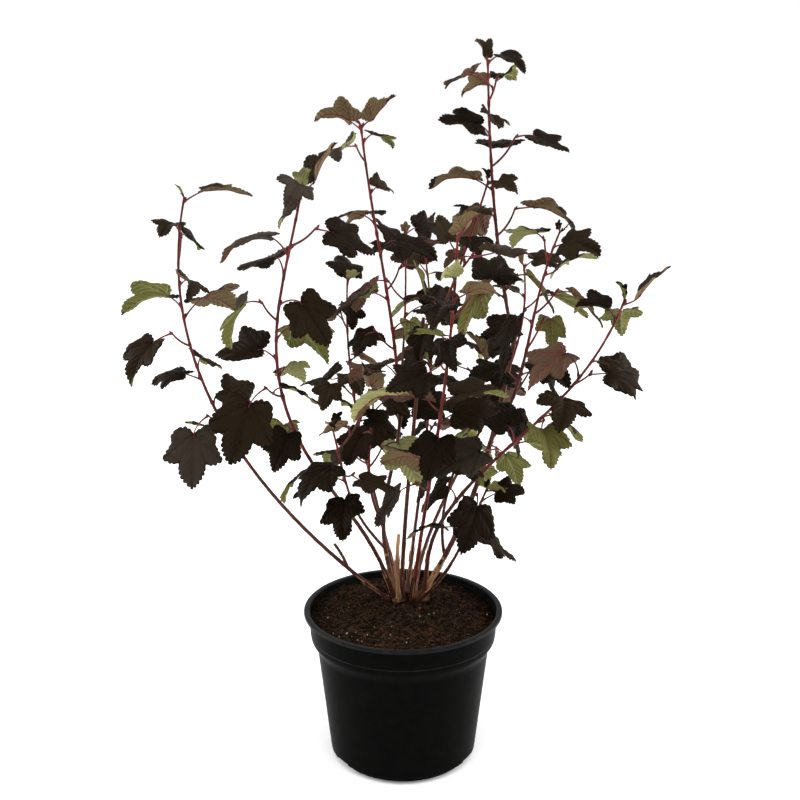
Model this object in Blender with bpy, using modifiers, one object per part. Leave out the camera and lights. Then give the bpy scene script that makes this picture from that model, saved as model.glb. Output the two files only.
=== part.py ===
"""A potted ninebark: a many-stemmed shrub with dark lobed leaves, in a round nursery pot.

The frame is metres, +Z up. The origin is the middle of the pot's flat underside, the view
from the front looks along +Y, and +X is on its right.
"""

import math
import random
from collections import namedtuple

import bmesh
import bpy
import numpy as np

# Pot: the rim's width drives it, and the other radii and heights are the pot's real ones.
RIM_RADIUS = 0.115
POT_HEIGHT = 0.182
POT_STEPS = 32
LIP_ROLL = 0.0015
LIP_DROP = 0.0035  # how far down the lip's underside is
COLLAR_RADIUS = 0.1068
COLLAR_DRAFT = 0.0031
COLLAR_FOOT = 0.148
SHOULDER_RADIUS = 0.0998
SHOULDER_FOOT = 0.137
BODY_FOOT_RADIUS = 0.085
STEP_HEIGHT = 0.006
STEP_BEVEL = 0.002
FOOT_RADIUS = 0.0776
FOOT_BEVEL = 0.001
WALL = 0.0018
FLOOR = 0.0030
NOTCHES = 3
NOTCH_TURN = 93  # degrees from the right to the first notch
NOTCH_WIDTH = 0.024
NOTCH_HEIGHT = 0.010
NOTCH_DEPTH = 0.016
NOTCH_BITE = 0.004  # how far a notch goes into the foot ring

# Soil: a flat crown that the shrub stands on, falling off toward the wall.
SOIL_TOP = 0.1765
SOIL_FLAT = 0.074
SOIL_FALL = 0.0045

# Clearance between neighbours that touch on the real plant.
GAP = 0.0003

# Stool, limbs and leaves as solids
LIMB_SIDES = 6
LIMB_STEP = 0.030  # metres between rings
STOOL_REACH = 0.030  # how far up each stem the stool goes
STOOL_SINK = 0.004
STOOL_FLARE = 0.7
FLARE_FADE = 0.007
PARENT_SWELL = 0.00036  # a side shoot ends this far off its parent's bark
KNOB_PLACE = (0.006, 0.038)
KNOB_SIZE = (0.026, 0.011, 0.006)
TWIG_RADII = (0.0013, 0.0010)
STALK_RADII = (0.0011, 0.0006)
STALK_SINK = 0.09  # how far a stalk runs on under the blade's rib
LEAF_THICKNESS = 1 / 30

COLOURS = {
    "black_plastic": ((0.012, 0.012, 0.012), 0.5),
    "peat": ((0.030, 0.017, 0.010), 1.0),
    "old_wood": ((0.23, 0.12, 0.055), 0.8),
    "bark": ((0.070, 0.018, 0.016), 0.55),
    "dark_leaf": ((0.022, 0.014, 0.011), 0.6),
}
SOLVER = "MANIFOLD"  # the quick one, for masses of many thin pieces

PULL = 1.1  # how strongly a stem keeps its direction at foot and tip

# Foliage rule. Lengths are shares of the blade where nothing else is said.
SEED = 1
SPRAY_LEAVES = 4
TURN = 144  # degrees round the stem from each leaf to the next
TURN_SPREAD = 28
PLACE_SPREAD = 0.4
BLADE_RANGE = (0.66, 1.16)
STALK_RANGE = (0.24, 0.50)
YOUNG_FROM = 0.55  # share of the leafy length where leaves start to get smaller and stand up
YOUNG_SHRINK = 0.20
YOUNG_RISE = 50
HEADING_SPREAD = 35
PITCH_RANGE = (-65, 25)
ROLL_SPREAD = 42
ARCH_RANGE = (20, 85)
STEEP_ARCH = 0.8  # how much less a blade arches that already hangs
FOLD_RANGE = (2, 26)
YOUNG_FOLD = 10
CURL_RANGE = (15, 80)
TWIST_SPREAD = 30
STALK_RISE = 0.64  # along the stem, against STALK_OUT away from it
STALK_OUT = 0.77
TWIG_LEAF = 1  # the leaf of each run that stands on a side twig
TWIG_RANGE = (0.020, 0.048)  # metres
TWIG_PARTNER = (0.55, 0.75)  # where the twig's second leaf stands, and its size
TIP_PLACE = 0.985  # where the last leaf of a stem stands, in its leafy length
TIP_LEAF = (0.993, 0.80)  # where on the stem its small upright leaf stands, and its size
TIP_RISE = 1.5  # how far that leaf turns toward the stem's own way
TIP_FOLD = 22  # degrees that its halves fold together further
LOWEST_LEAF = 0.20  # no leaf hangs into the pot
BLADE_CLEAR = 0.0064
STALK_CLEAR = 0.0048
LIMB_CLEAR = 0.0052

# Half of a blade's outline, from its foot round the basal lobe and the side lobe to its tip,
# as shares of its length along and across.
HALF_OUTLINE = ((-0.09, 0.30), (0.19, 0.40), (0.45, 0.49), (0.57, 0.28))
RIBS = (0.0, 0.42)
SAMPLE_STEP = 0.075
STALK_SAMPLES = 4
LIMB_SAMPLES = 160

# Stems: each is a smooth curve from its foot, past any knees, to its tip. A direction is an
# azimuth and a lean from upright, in degrees. A foot that names another stem and a share of
# its length grows out of that stem's side. The radii are at foot and tip. Leaves start at
# the share named leafy, and sprays is how many runs of leaves follow one another.
Shoot = namedtuple("Shoot", "name foot start knees tip end radii leafy blade sprays")
SHOOTS = (
    Shoot("far_left", (-0.016, 0.032, SOIL_TOP), (192, 49), (), (-0.231, -0.020, 0.661),
          (4, 13), (0.0025, 0.0011), 0.47, 0.062, 3),
    Shoot("left", (-0.010, 0.034, SOIL_TOP), (185, 14), ((-0.129, -0.060, 0.455),),
          (-0.102, -0.090, 0.682), (40, 14), (0.0026, 0.0012), 0.38, 0.070, 4),
    Shoot("centre_left", (-0.008, 0.042, SOIL_TOP), (150, 14),
          ((-0.023, 0.052, 0.266), (-0.004, 0.090, 0.400)),
          (-0.048, 0.120, 0.723), (170, 6), (0.0028, 0.0012), 0.36, 0.062, 5),
    Shoot("pruned_middle", (-0.002, 0.040, SOIL_TOP), (80, 10), (), (0.023, 0.060, 0.513),
          (0, 4), (0.0027, 0.0020), 1.0, 0.0, 0),
    Shoot("pruned_right", (0.020, 0.040, SOIL_TOP), (6, 32), (), (0.129, 0.050, 0.508),
          (348, 9), (0.0033, 0.0026), 1.0, 0.0, 0),
    Shoot("stub_upright", (-0.005, 0.030, SOIL_TOP), (180, 4), (), (-0.005, 0.029, 0.261),
          (0, 6), (0.0025, 0.0022), 1.0, 0.0, 0),
    Shoot("stub_left", ("far_left", 0.115), (190, 20), (), (-0.080, 0.020, 0.253),
          (196, 36), (0.0019, 0.0017), 1.0, 0.0, 0),
    Shoot("tall", ("pruned_right", 0.94), (225, 18), (), (0.090, 0.040, 0.800),
          (180, 2), (0.0022, 0.0011), 0.12, 0.060, 4),
    Shoot("far_right", (0.024, 0.035, SOIL_TOP), (0, 6), ((0.045, 0.018, 0.283),),
          (0.227, -0.090, 0.567), (10, 20), (0.0026, 0.0011), 0.28, 0.062, 5),
    Shoot("front", (0.011, 0.030, SOIL_TOP), (285, 18), (), (0.053, -0.140, 0.646),
          (279, 9), (0.0025, 0.0012), 0.30, 0.064, 6),
    Shoot("right", ("pruned_right", 0.61), (319, 34), (), (0.165, -0.030, 0.627),
          (319, 25), (0.0022, 0.0011), 0.16, 0.062, 4),
    Shoot("middle", ("pruned_middle", 0.85), (318, 28), (), (0.092, 0.030, 0.671),
          (345, 17), (0.0019, 0.0011), 0.15, 0.058, 4),
    Shoot("inner_left", ("centre_left", 0.11), (228, 44), (), (-0.075, -0.100, 0.435),
          (250, 27), (0.0019, 0.0011), 0.40, 0.062, 3),
    Shoot("inner_up", ("centre_left", 0.16), (227, 32), (), (-0.032, -0.030, 0.456),
          (275, 19), (0.0019, 0.0011), 0.40, 0.058, 3),
    Shoot("low_right", (0.016, 0.029, SOIL_TOP), (342, 46), (), (0.093, -0.020, 0.334),
          (321, 25), (0.0022, 0.0012), 0.50, 0.058, 2),
    Shoot("inner_right", ("pruned_right", 0.16), (114, 27), (), (0.099, 0.130, 0.444),
          (80, 15), (0.0020, 0.0011), 0.35, 0.060, 3),
    Shoot("back_thin", ("centre_left", 0.42), (84, 40), (), (0.002, 0.170, 0.590),
          (96, 26), (0.0017, 0.0010), 0.25, 0.058, 3),
    Shoot("back_left", (-0.004, 0.047, SOIL_TOP), (110, 41), (), (-0.069, 0.230, 0.520),
          (52, 5), (0.0024, 0.0011), 0.35, 0.062, 3),
    Shoot("back_right", (0.014, 0.048, SOIL_TOP), (82, 47), (), (0.150, 0.230, 0.540),
          (153, 9), (0.0025, 0.0011), 0.35, 0.062, 3),
    Shoot("back_middle", (0.005, 0.049, SOIL_TOP), (84, 57), (), (0.026, 0.230, 0.560),
          (192, 10), (0.0024, 0.0011), 0.38, 0.062, 3),
)
STEM = {shoot.name: shoot for shoot in SHOOTS}
Leaf = namedtuple("Leaf", "shoot stalk base ahead up length arch fold curl twist twig")


def unit(vector):
    return vector / np.linalg.norm(vector)


def leaning(azimuth, lean):
    """The direction that leans from upright toward an azimuth, both in degrees."""
    a, b = math.radians(azimuth), math.radians(lean)
    return np.array((math.sin(b) * math.cos(a), math.sin(b) * math.sin(a), math.cos(b)))


def foot_of(shoot):
    if isinstance(shoot.foot[0], str):
        return along(STEM[shoot.foot[0]], shoot.foot[1])
    return np.array(shoot.foot)


def along(shoot, share):
    """The points of a stem's centre line at some shares of its length, from 0 to 1."""
    marks = np.array([foot_of(shoot), *shoot.knees, shoot.tip])
    spans = np.linalg.norm(np.diff(marks, axis=0), axis=1)
    ways = [leaning(*shoot.start)]
    ways += [unit(marks[i + 1] - marks[i - 1]) for i in range(1, len(marks) - 1)]
    ways.append(leaning(*shoot.end))
    ends = np.concatenate(([0], np.cumsum(spans))) / spans.sum()
    share = np.clip(np.asarray(share, float), 0, 1)
    piece = np.clip(np.searchsorted(ends, share, "right") - 1, 0, len(spans) - 1)
    t = ((share - ends[piece]) / (ends[piece + 1] - ends[piece]))[..., None]
    pull = (PULL * spans[piece])[..., None]
    leave, arrive = np.array(ways)[piece] * pull, np.array(ways)[piece + 1] * pull
    start, stop = marks[piece], marks[piece + 1]
    return ((2 * t**3 - 3 * t**2 + 1) * start + (t**3 - 2 * t**2 + t) * leave
            + (3 * t**2 - 2 * t**3) * stop + (t**3 - t**2) * arrive)


def heading_of(shoot, share):
    step = 0.01
    return unit(along(shoot, min(share + step, 1)) - along(shoot, max(share - step, 0)))


def length_of(shoot):
    return np.linalg.norm(np.diff(along(shoot, np.linspace(0, 1, 200)), axis=0), axis=1).sum()


def turned(vector, axis, angle):
    """A vector turned round an axis at right angles to it."""
    return vector * math.cos(angle) + np.cross(axis, vector) * math.sin(angle)


def rising(axis, azimuth):
    """The way that a stalk leaves a stem: up along it, and out toward an azimuth."""
    out = np.array((math.cos(azimuth), math.sin(azimuth), 0.0))
    out = unit(out - axis * (out @ axis))
    return unit(axis * STALK_RISE + out * STALK_OUT)


def make_leaf(draw, shoot, node, axis, azimuth, size, youth, twig):
    """One leaf: its stalk from the node, and how its blade lies and bends."""
    length = shoot.blade * size * (1 - YOUNG_SHRINK * youth) * draw(*BLADE_RANGE)
    stalk = length * draw(*STALK_RANGE)
    heading = math.radians(azimuth + draw(-HEADING_SPREAD, HEADING_SPREAD))
    pitch = math.radians(draw(*PITCH_RANGE) + YOUNG_RISE * youth)
    droop = max(0, -pitch) / (math.pi / 2)
    roll = math.radians(draw(-ROLL_SPREAD, ROLL_SPREAD))
    arch = math.radians(draw(*ARCH_RANGE)) * (1 - STEEP_ARCH * droop)
    fold = math.radians(draw(*FOLD_RANGE) + YOUNG_FOLD * youth)
    curl = math.radians(draw(*CURL_RANGE))
    twist = math.radians(draw(-TWIST_SPREAD, TWIST_SPREAD))
    ahead = np.array((math.cos(heading) * math.cos(pitch),
                      math.sin(heading) * math.cos(pitch), math.sin(pitch)))
    up = np.array((0.0, 0.0, 1.0))
    up = turned(unit(up - ahead * (up @ ahead)), ahead, roll)
    rise = rising(axis, math.radians(azimuth))
    elbow = node + rise * stalk * 0.55
    base = elbow + unit(rise + 0.7 * ahead) * stalk * 0.45
    return Leaf(shoot.name, (node, elbow, base), base, ahead, up, length, arch, fold, curl,
                twist, twig)


def upright_leaf(draw, shoot, azimuth):
    """The small folded leaf that stands up at a stem's tip."""
    place, size = TIP_LEAF
    axis = heading_of(shoot, place)
    leaf = make_leaf(draw, shoot, along(shoot, place), axis, azimuth, size, 1, None)
    ahead = unit(leaf.ahead + axis * TIP_RISE)
    up = unit(leaf.up - ahead * (leaf.up @ ahead))
    return leaf._replace(ahead=ahead, up=up, fold=leaf.fold + math.radians(TIP_FOLD))


def spray_of(shoot, index):
    """The leaves of one run along a stem, two of them on a short side twig."""
    draw = random.Random(f"{SEED} {shoot.name} {index}").uniform
    phase = draw(0, 360)
    in_all = SPRAY_LEAVES * shoot.sprays
    leaves = []
    for i in range(SPRAY_LEAVES):
        share = (index * SPRAY_LEAVES + i + 0.5 + draw(-PLACE_SPREAD, PLACE_SPREAD)) / in_all
        if index * SPRAY_LEAVES + i + 1 == in_all:
            share = TIP_PLACE
        youth = max(0, share - YOUNG_FROM) / (1 - YOUNG_FROM)
        azimuth = phase + TURN * i + draw(-TURN_SPREAD, TURN_SPREAD)
        place = shoot.leafy + (1 - shoot.leafy) * share
        node, axis = along(shoot, place), heading_of(shoot, place)
        if i != TWIG_LEAF:
            leaves.append(make_leaf(draw, shoot, node, axis, azimuth, 1, youth, None))
            continue
        reach = draw(*TWIG_RANGE) * (1 - YOUNG_SHRINK * youth)
        rise = rising(axis, math.radians(azimuth))
        elbow = node + rise * reach * 0.5
        out = unit(rise + 0.5 * axis)
        twig = (node, elbow, elbow + out * reach * 0.5)
        leaves.append(make_leaf(draw, shoot, twig[2], out, azimuth, 1, youth, twig))
        place, size = TWIG_PARTNER
        partner = node + (elbow - node) * 2 * place if place < 0.5 else \
            elbow + (twig[2] - elbow) * (2 * place - 1)
        leaves.append(make_leaf(draw, shoot, partner, rise, azimuth + TURN, size, youth, twig))
    if index == shoot.sprays - 1:
        leaves.append(upright_leaf(draw, shoot, phase + TURN * SPRAY_LEAVES))
    return leaves


def blade_at(leaf, u, v):
    """Points of a blade's middle surface, u along and v across it in shares of its length.

    The midrib is an arc that droops, each half rises from it and curls down again, and the
    whole blade twists slightly on its way to the tip.
    """
    u, v = np.asarray(u, float), np.asarray(v, float)
    side = np.cross(leaf.ahead, leaf.up)
    bend = leaf.arch * u
    rib = (np.sin(bend)[..., None] * leaf.ahead
           - (1 - np.cos(bend))[..., None] * leaf.up) / leaf.arch
    over = np.cos(bend)[..., None] * leaf.up + np.sin(bend)[..., None] * leaf.ahead
    slope = leaf.fold - leaf.curl * np.abs(v)
    out = np.sign(v) * (math.sin(leaf.fold) - np.sin(slope)) / leaf.curl
    lift = (np.cos(slope) - math.cos(leaf.fold)) / leaf.curl
    turn = leaf.twist * u
    across = (out * np.cos(turn) - lift * np.sin(turn))[..., None]
    above = (out * np.sin(turn) + lift * np.cos(turn))[..., None]
    return leaf.base + leaf.length * (rib + across * side + above * over)


def outline():
    """The blade's whole outline, from its foot round to its foot again."""
    half = np.array(HALF_OUTLINE)
    return np.concatenate(([(0, 0)], half, [(1, 0)], half[::-1] * (1, -1)))


def inside_outline(step):
    """A grid of u and v over the blade."""
    edge = outline()
    u, v = np.meshgrid(np.arange(-0.1, 1, step), np.arange(-0.5, 0.51, step), indexing="ij")
    within = np.zeros(u.shape, bool)
    for (u1, v1), (u2, v2) in zip(edge, np.roll(edge, -1, axis=0)):
        if v1 != v2:
            crosses = (v1 > v) != (v2 > v)
            within ^= crosses & (u < (u2 - u1) * (v - v1) / (v2 - v1) + u1)
    return u[within], v[within]

def stalk_points(chain):
    """Points along a stalk or twig, from past its root to its end."""
    first, elbow, last = chain
    shares = np.linspace(0.3, 1, STALK_SAMPLES)[:, None]
    lower = first + (elbow - first) * shares
    return np.concatenate((lower, elbow + (last - elbow) * shares))


def far_enough(points, clouds, gap):
    """Whether no point lies within the gap of any cloud."""
    low, high = points.min(axis=0) - gap, points.max(axis=0) + gap
    for cloud in clouds:
        near = cloud[((cloud > low) & (cloud < high)).all(axis=1)]
        if len(near) and ((points[:, None] - near) ** 2).sum(axis=2).min() < gap**2:
            return False
    return True


def grow():
    """Every mass's leaves. One that would touch a limb or another leaf is skipped."""
    u, v = inside_outline(SAMPLE_STEP)
    limbs = {shoot.name: along(shoot, np.linspace(0, 1, LIMB_SAMPLES)) for shoot in SHOOTS}
    masses = {shoot.name: [] for shoot in SHOOTS if shoot.sprays}
    blades, stalks = [], []
    for shoot in SHOOTS:
        others = [limb for name, limb in limbs.items() if name != shoot.name]
        for index in range(shoot.sprays):
            twig_kept = None
            for leaf in spray_of(shoot, index):
                new_twig = leaf.twig is not None and leaf.twig is not twig_kept
                if new_twig and leaf.stalk[0] is not leaf.twig[2]:
                    continue
                blade = blade_at(leaf, u, v)
                arm = stalk_points(leaf.stalk)
                if new_twig:
                    arm = np.concatenate((arm, stalk_points(leaf.twig)))
                foreign = [cloud for name, cloud in stalks if name != shoot.name]
                if (blade[:, 2].min() > LOWEST_LEAF
                        and far_enough(blade, limbs.values(), LIMB_CLEAR)
                        and far_enough(arm, others + foreign, STALK_CLEAR)
                        and far_enough(blade, blades, BLADE_CLEAR)
                        and far_enough(blade, [cloud for _, cloud in stalks], BLADE_CLEAR)
                        and far_enough(arm, blades, BLADE_CLEAR)):
                    masses[shoot.name].append(leaf)
                    blades.append(blade)
                    stalks.append((shoot.name, arm))
                    if new_twig:
                        twig_kept = leaf.twig
    return masses


def clear_scene():
    for obj in list(bpy.data.objects):
        bpy.data.objects.remove(obj, do_unlink=True)


def new_collection(name, hidden=False):
    made = bpy.data.collections.new(name)
    made.hide_render = hidden
    bpy.context.scene.collection.children.link(made)
    return made


def new_materials():
    made = {}
    for name, (colour, roughness) in COLOURS.items():
        made[name] = bpy.data.materials.new(name)
        made[name].use_nodes = True
        shader = made[name].node_tree.nodes["Principled BSDF"]
        shader.inputs["Base Color"].default_value = (*colour, 1)
        shader.inputs["Roughness"].default_value = roughness
        shader.inputs["Metallic"].default_value = 0
    return made


def place(name, mesh, collection, material=None):
    obj = bpy.data.objects.new(name, mesh)
    collection.objects.link(obj)
    if material:
        mesh.materials.clear()
        mesh.materials.append(material)
    return obj


def evaluated_mesh(obj):
    graph = bpy.context.evaluated_depsgraph_get()
    return bpy.data.meshes.new_from_object(obj.evaluated_get(graph))


def tidy_mesh(mesh):
    """Joins a tube's caps to its sides and turns every face outward."""
    shape = bmesh.new()
    shape.from_mesh(mesh)
    bmesh.ops.remove_doubles(shape, verts=shape.verts, dist=1e-6)
    bmesh.ops.recalc_face_normals(shape, faces=shape.faces)
    shape.to_mesh(mesh)
    shape.free()
    return mesh


def triangle_profile():
    """The section of twigs and leaf stalks."""
    curve = bpy.data.curves.new("three_sides", "CURVE")
    curve.dimensions = "2D"
    spline = curve.splines.new("POLY")
    spline.points.add(2)
    for i, point in enumerate(spline.points):
        angle = 2 * math.pi * i / 3
        point.co = (math.cos(angle), math.sin(angle), 0, 1)
    spline.use_cyclic_u = True
    return curve


def tube_curve(name, points, radii, profile, collection):
    """A capped curve whose thickness runs evenly from the first radius to the last."""
    curve = bpy.data.curves.new(name, "CURVE")
    curve.dimensions = "3D"
    curve.use_fill_caps = True
    if profile:
        curve.bevel_mode = "OBJECT"
        curve.bevel_object = profile
    else:
        curve.bevel_depth = 1
        curve.bevel_resolution = (LIMB_SIDES - 4) // 2
    spline = curve.splines.new("POLY")
    spline.points.add(len(points) - 1)
    for point, spot, radius in zip(spline.points, points, radii):
        point.co = (*spot, 1)
        point.radius = radius
    return place(name, curve, collection)


def as_meshes(curves, collection):
    """Makes curve objects into mesh objects, all in one go."""
    bpy.context.view_layer.update()
    made = []
    for obj in curves:
        name = obj.name
        mesh = tidy_mesh(evaluated_mesh(obj))
        bpy.data.objects.remove(obj, do_unlink=True)
        made.append(place(name, mesh, collection))
    return made


def limb_curve(name, shoot, start, stop, collection, swell=0.0):
    """A stretch of a stem, between two shares of its length."""
    count = max(2, math.ceil((stop - start) * length_of(shoot) / LIMB_STEP) + 1)
    shares = np.linspace(start, stop, count)
    radii = shoot.radii[0] + (shoot.radii[1] - shoot.radii[0]) * shares + swell
    return tube_curve(name, along(shoot, shares), radii, None, collection)


def leaf_mesh(leaf):
    """A blade as one closed lens: a rib above and below, and the outline between them."""
    half = np.array(HALF_OUTLINE)
    count = len(half)
    rib = blade_at(leaf, RIBS, np.zeros(len(RIBS)))
    bend = np.array(RIBS)[:, None] * leaf.arch
    over = np.cos(bend) * leaf.up + np.sin(bend) * leaf.ahead
    over = over * leaf.length * LEAF_THICKNESS / 2
    edges = [blade_at(leaf, half[:, 0], half[:, 1] * side) for side in (1, -1)]
    points = np.concatenate((rib + over, rib - over, *edges, blade_at(leaf, [1.0], [0.0])))
    tip = len(points) - 1
    faces = []
    for edge in (4, 4 + count):
        for foot, middle in ((0, 1), (2, 3)):
            faces += [(foot, edge, edge + 1), (foot, edge + 1, middle)]
            faces += [(middle, edge + 1, edge + 2), (middle, edge + 2, edge + 3)]
            faces.append((middle, edge + 3, tip))
        faces.append((0, 2, edge))
    mesh = bpy.data.meshes.new("leaf")
    mesh.from_pydata(points.tolist(), [], faces)
    return tidy_mesh(mesh)


def apply_modifiers(obj):
    material = obj.data.materials[0] if obj.data.materials else None
    bpy.context.view_layer.update()
    mesh = evaluated_mesh(obj)
    obj.modifiers.clear()
    obj.data = mesh
    if material:
        mesh.materials.clear()
        mesh.materials.append(material)


def fuse(body, pieces, group, solver):
    """Joins every object of a collection to the body in one union, and drops them."""
    join = body.modifiers.new("fuse", "BOOLEAN")
    join.operation = "UNION"
    join.operand_type = "COLLECTION"
    join.collection = group
    join.solver = solver
    apply_modifiers(body)
    for piece in pieces:
        bpy.data.objects.remove(piece, do_unlink=True)
    bpy.data.collections.remove(group)


def new_box(name, middle, sides, turn, collection):
    """A box of some real sides, turned round the upright axis."""
    shape = bmesh.new()
    bmesh.ops.create_cube(shape, size=1)
    bmesh.ops.scale(shape, vec=sides, verts=shape.verts)
    mesh = bpy.data.meshes.new(name)
    shape.to_mesh(mesh)
    shape.free()
    box = place(name, mesh, collection)
    box.location = middle
    box.rotation_euler = (0, 0, turn)
    return box


def cut(body, cutter):
    """Takes a cutter out of a body, and keeps both editable."""
    cutter.hide_render = True
    cutter.display_type = "WIRE"
    trim = body.modifiers.new("cut", "BOOLEAN")
    trim.operation = "DIFFERENCE"
    trim.object = cutter


def arc(x, z, radius, start, stop, steps):
    """Points on an arc of a turned profile, angles in degrees."""
    angles = np.radians(np.linspace(start, stop, steps + 1))
    return [(x + radius * math.cos(a), z + radius * math.sin(a)) for a in angles]


def turned_solid(name, profile, steps, collection, material):
    """Turns a profile round the upright axis. It runs down its outer side."""
    mesh = bpy.data.meshes.new(name)
    points = [(x, 0, z) for x, z in profile]
    mesh.from_pydata(points, [(i, i + 1) for i in range(len(points) - 1)], [])
    obj = place(name, mesh, collection, material)
    screw = obj.modifiers.new("turn", "SCREW")
    screw.steps = screw.render_steps = steps
    screw.use_merge_vertices = True
    screw.merge_threshold = 0.0001
    return obj


def pot_wall():
    """The outside of the pot's wall, from the collar's top down to the foot ring."""
    return [(COLLAR_RADIUS + COLLAR_DRAFT, POT_HEIGHT - LIP_DROP), (COLLAR_RADIUS, COLLAR_FOOT),
            (SHOULDER_RADIUS, SHOULDER_FOOT), (BODY_FOOT_RADIUS, STEP_HEIGHT + STEP_BEVEL),
            (BODY_FOOT_RADIUS - STEP_BEVEL, STEP_HEIGHT), (FOOT_RADIUS, STEP_HEIGHT)]


def pot_inside(inset):
    """The inside of the wall, from the floor's corner up to the lip."""
    wall = [(x - WALL - inset, z) for x, z in pot_wall()[:4]]
    wall[-1] = (wall[-1][0], STEP_HEIGHT + WALL + inset)
    foot = FOOT_RADIUS - WALL - inset
    return [(foot, FLOOR + inset), (foot, STEP_HEIGHT + WALL + inset), *wall[::-1]]


def pot_lip(steps):
    """The narrow lip, from the top of the inside over to its underside."""
    inside, top = pot_inside(0)[-1][0] + LIP_ROLL, POT_HEIGHT - LIP_ROLL
    return [*arc(inside, top, LIP_ROLL, 180, 90, steps),
            *arc(RIM_RADIUS - LIP_ROLL, top, LIP_ROLL, 90, 0, steps),
            (RIM_RADIUS, POT_HEIGHT - LIP_DROP)]


def notch_angles():
    return [math.radians(NOTCH_TURN + 360 * i / NOTCHES) for i in range(NOTCHES)]


def build_pot(parts, cutters, materials):
    """A thin blow-moulded pot: narrow lip, collar, shoulder, tapering body and foot ring."""
    foot = [(FOOT_RADIUS, FOOT_BEVEL), (FOOT_RADIUS - FOOT_BEVEL, 0), (0, 0)]
    profile = [(0, FLOOR), *pot_inside(0), *pot_lip(2), *pot_wall(), *foot]
    pot = turned_solid("pot", profile, POT_STEPS, parts, materials["black_plastic"])
    for i, angle in enumerate(notch_angles()):
        out = FOOT_RADIUS - NOTCH_BITE + NOTCH_DEPTH / 2
        middle = (out * math.cos(angle), out * math.sin(angle), 0)
        sides = (NOTCH_DEPTH, NOTCH_WIDTH, 2 * NOTCH_HEIGHT)
        cut(pot, new_box(f"notch_{i + 1}", middle, sides, angle, cutters))


def build_soil(parts, materials):
    """The peat that fills the pot, flat round the shrub and lower at the wall."""
    low = SOIL_TOP - SOIL_FALL
    (inner, below), (outer, above) = pot_inside(GAP)[-2:]
    edge = inner + (outer - inner) * (low - below) / (above - below)
    wall = [(edge, low), *[p for p in pot_inside(GAP)[::-1] if p[1] < low]]
    profile = [(0, SOIL_TOP), (SOIL_FLAT, SOIL_TOP), *wall, (0, FLOOR + GAP)]
    turned_solid("soil", profile, POT_STEPS, parts, materials["peat"])


def rooted(shoot):
    return not isinstance(shoot.foot[0], str)


def build_stool(parts, cutters, materials):
    """The woody foot: every stem's flared root, fused, with a flat cut on the soil."""
    group = new_collection("stool_pieces")
    roots = []
    for shoot in filter(rooted, SHOOTS):
        end = STOOL_REACH / length_of(shoot)
        shares = np.linspace(0, end, 3)
        points = along(shoot, shares)
        below = points[0] - leaning(*shoot.start) * STOOL_SINK
        rise = np.concatenate(([0], shares * length_of(shoot)))
        radii = shoot.radii[0] * (1 + STOOL_FLARE * np.exp(-rise / FLARE_FADE))
        radii[-1] = shoot.radii[0] + (shoot.radii[1] - shoot.radii[0]) * end
        roots.append(tube_curve("root_" + shoot.name, [below, *points], radii, None, group))
    roots = as_meshes(roots, group)
    ball = bmesh.new()
    bmesh.ops.create_icosphere(ball, subdivisions=2, radius=1)
    bmesh.ops.scale(ball, vec=KNOB_SIZE, verts=ball.verts)
    bmesh.ops.translate(ball, vec=(*KNOB_PLACE, SOIL_TOP), verts=ball.verts)
    mesh = bpy.data.meshes.new("stool")
    ball.to_mesh(mesh)
    ball.free()
    stool = place("stool", mesh, parts, materials["old_wood"])
    fuse(stool, roots, group, "EXACT")
    middle = (0, 0, SOIL_TOP + GAP - SOIL_TOP / 2)
    cut(stool, new_box("soil_block", middle, [SOIL_TOP] * 3, 0, cutters))


def build_limbs(parts, cutters, materials):
    """Each stem's bare stretch, from the stool, or from its parent's side, to its leaves."""
    curves, side_shoots = [], []
    for shoot in SHOOTS:
        if not rooted(shoot):
            side_shoots.append(shoot)
            if shoot.sprays:
                continue
        length = length_of(shoot)
        start = (STOOL_REACH + GAP) / length if rooted(shoot) else 0
        stop = shoot.leafy - (GAP / length if shoot.sprays else 0)
        name = shoot.name + "_bough" if shoot.sprays else shoot.name
        curves.append(limb_curve(name, shoot, start, stop, parts))
    limbs = {obj.name: obj for obj in as_meshes(curves, parts)}
    for limb in limbs.values():
        limb.data.materials.append(materials["bark"])
    parents = {shoot.foot[0] for shoot in side_shoots}
    curves = [limb_curve("round_" + name, STEM[name], 0, 1, cutters, swell=PARENT_SWELL)
              for name in sorted(parents)]
    rounds = {obj.name: obj for obj in as_meshes(curves, cutters)}
    for shoot in side_shoots:
        if not shoot.sprays:
            cut(limbs[shoot.name], rounds["round_" + shoot.foot[0]])
    return rounds


def build_masses(parts, materials, rounds, profile):
    """Each leafy stretch: stem, twigs, stalks and blades fused into one solid."""
    for name, leaves in grow().items():
        shoot = STEM[name]
        group = new_collection(name + "_pieces")
        start = shoot.leafy if rooted(shoot) else 0
        stem = limb_curve(name + "_leaves", shoot, start, 1, parts)
        curves = []
        twigs = {id(leaf.twig): leaf.twig for leaf in leaves if leaf.twig}
        for twig in twigs.values():
            radii = np.linspace(*TWIG_RADII, len(twig))
            curves.append(tube_curve("twig", twig, radii, profile, group))
        for leaf in leaves:
            points = [leaf.stalk[0], blade_at(leaf, STALK_SINK, 0.0)]
            radii = np.linspace(*STALK_RADII, len(points))
            curves.append(tube_curve("stalk", points, radii, profile, group))
        pieces = as_meshes(curves, group)
        pieces += [place("blade", leaf_mesh(leaf), group) for leaf in leaves]
        mass, = as_meshes([stem], parts)
        mass.data.materials.append(materials["dark_leaf"])
        fuse(mass, pieces, group, SOLVER)
        if not rooted(shoot):
            cut(mass, rounds["round_" + shoot.foot[0]])


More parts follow.
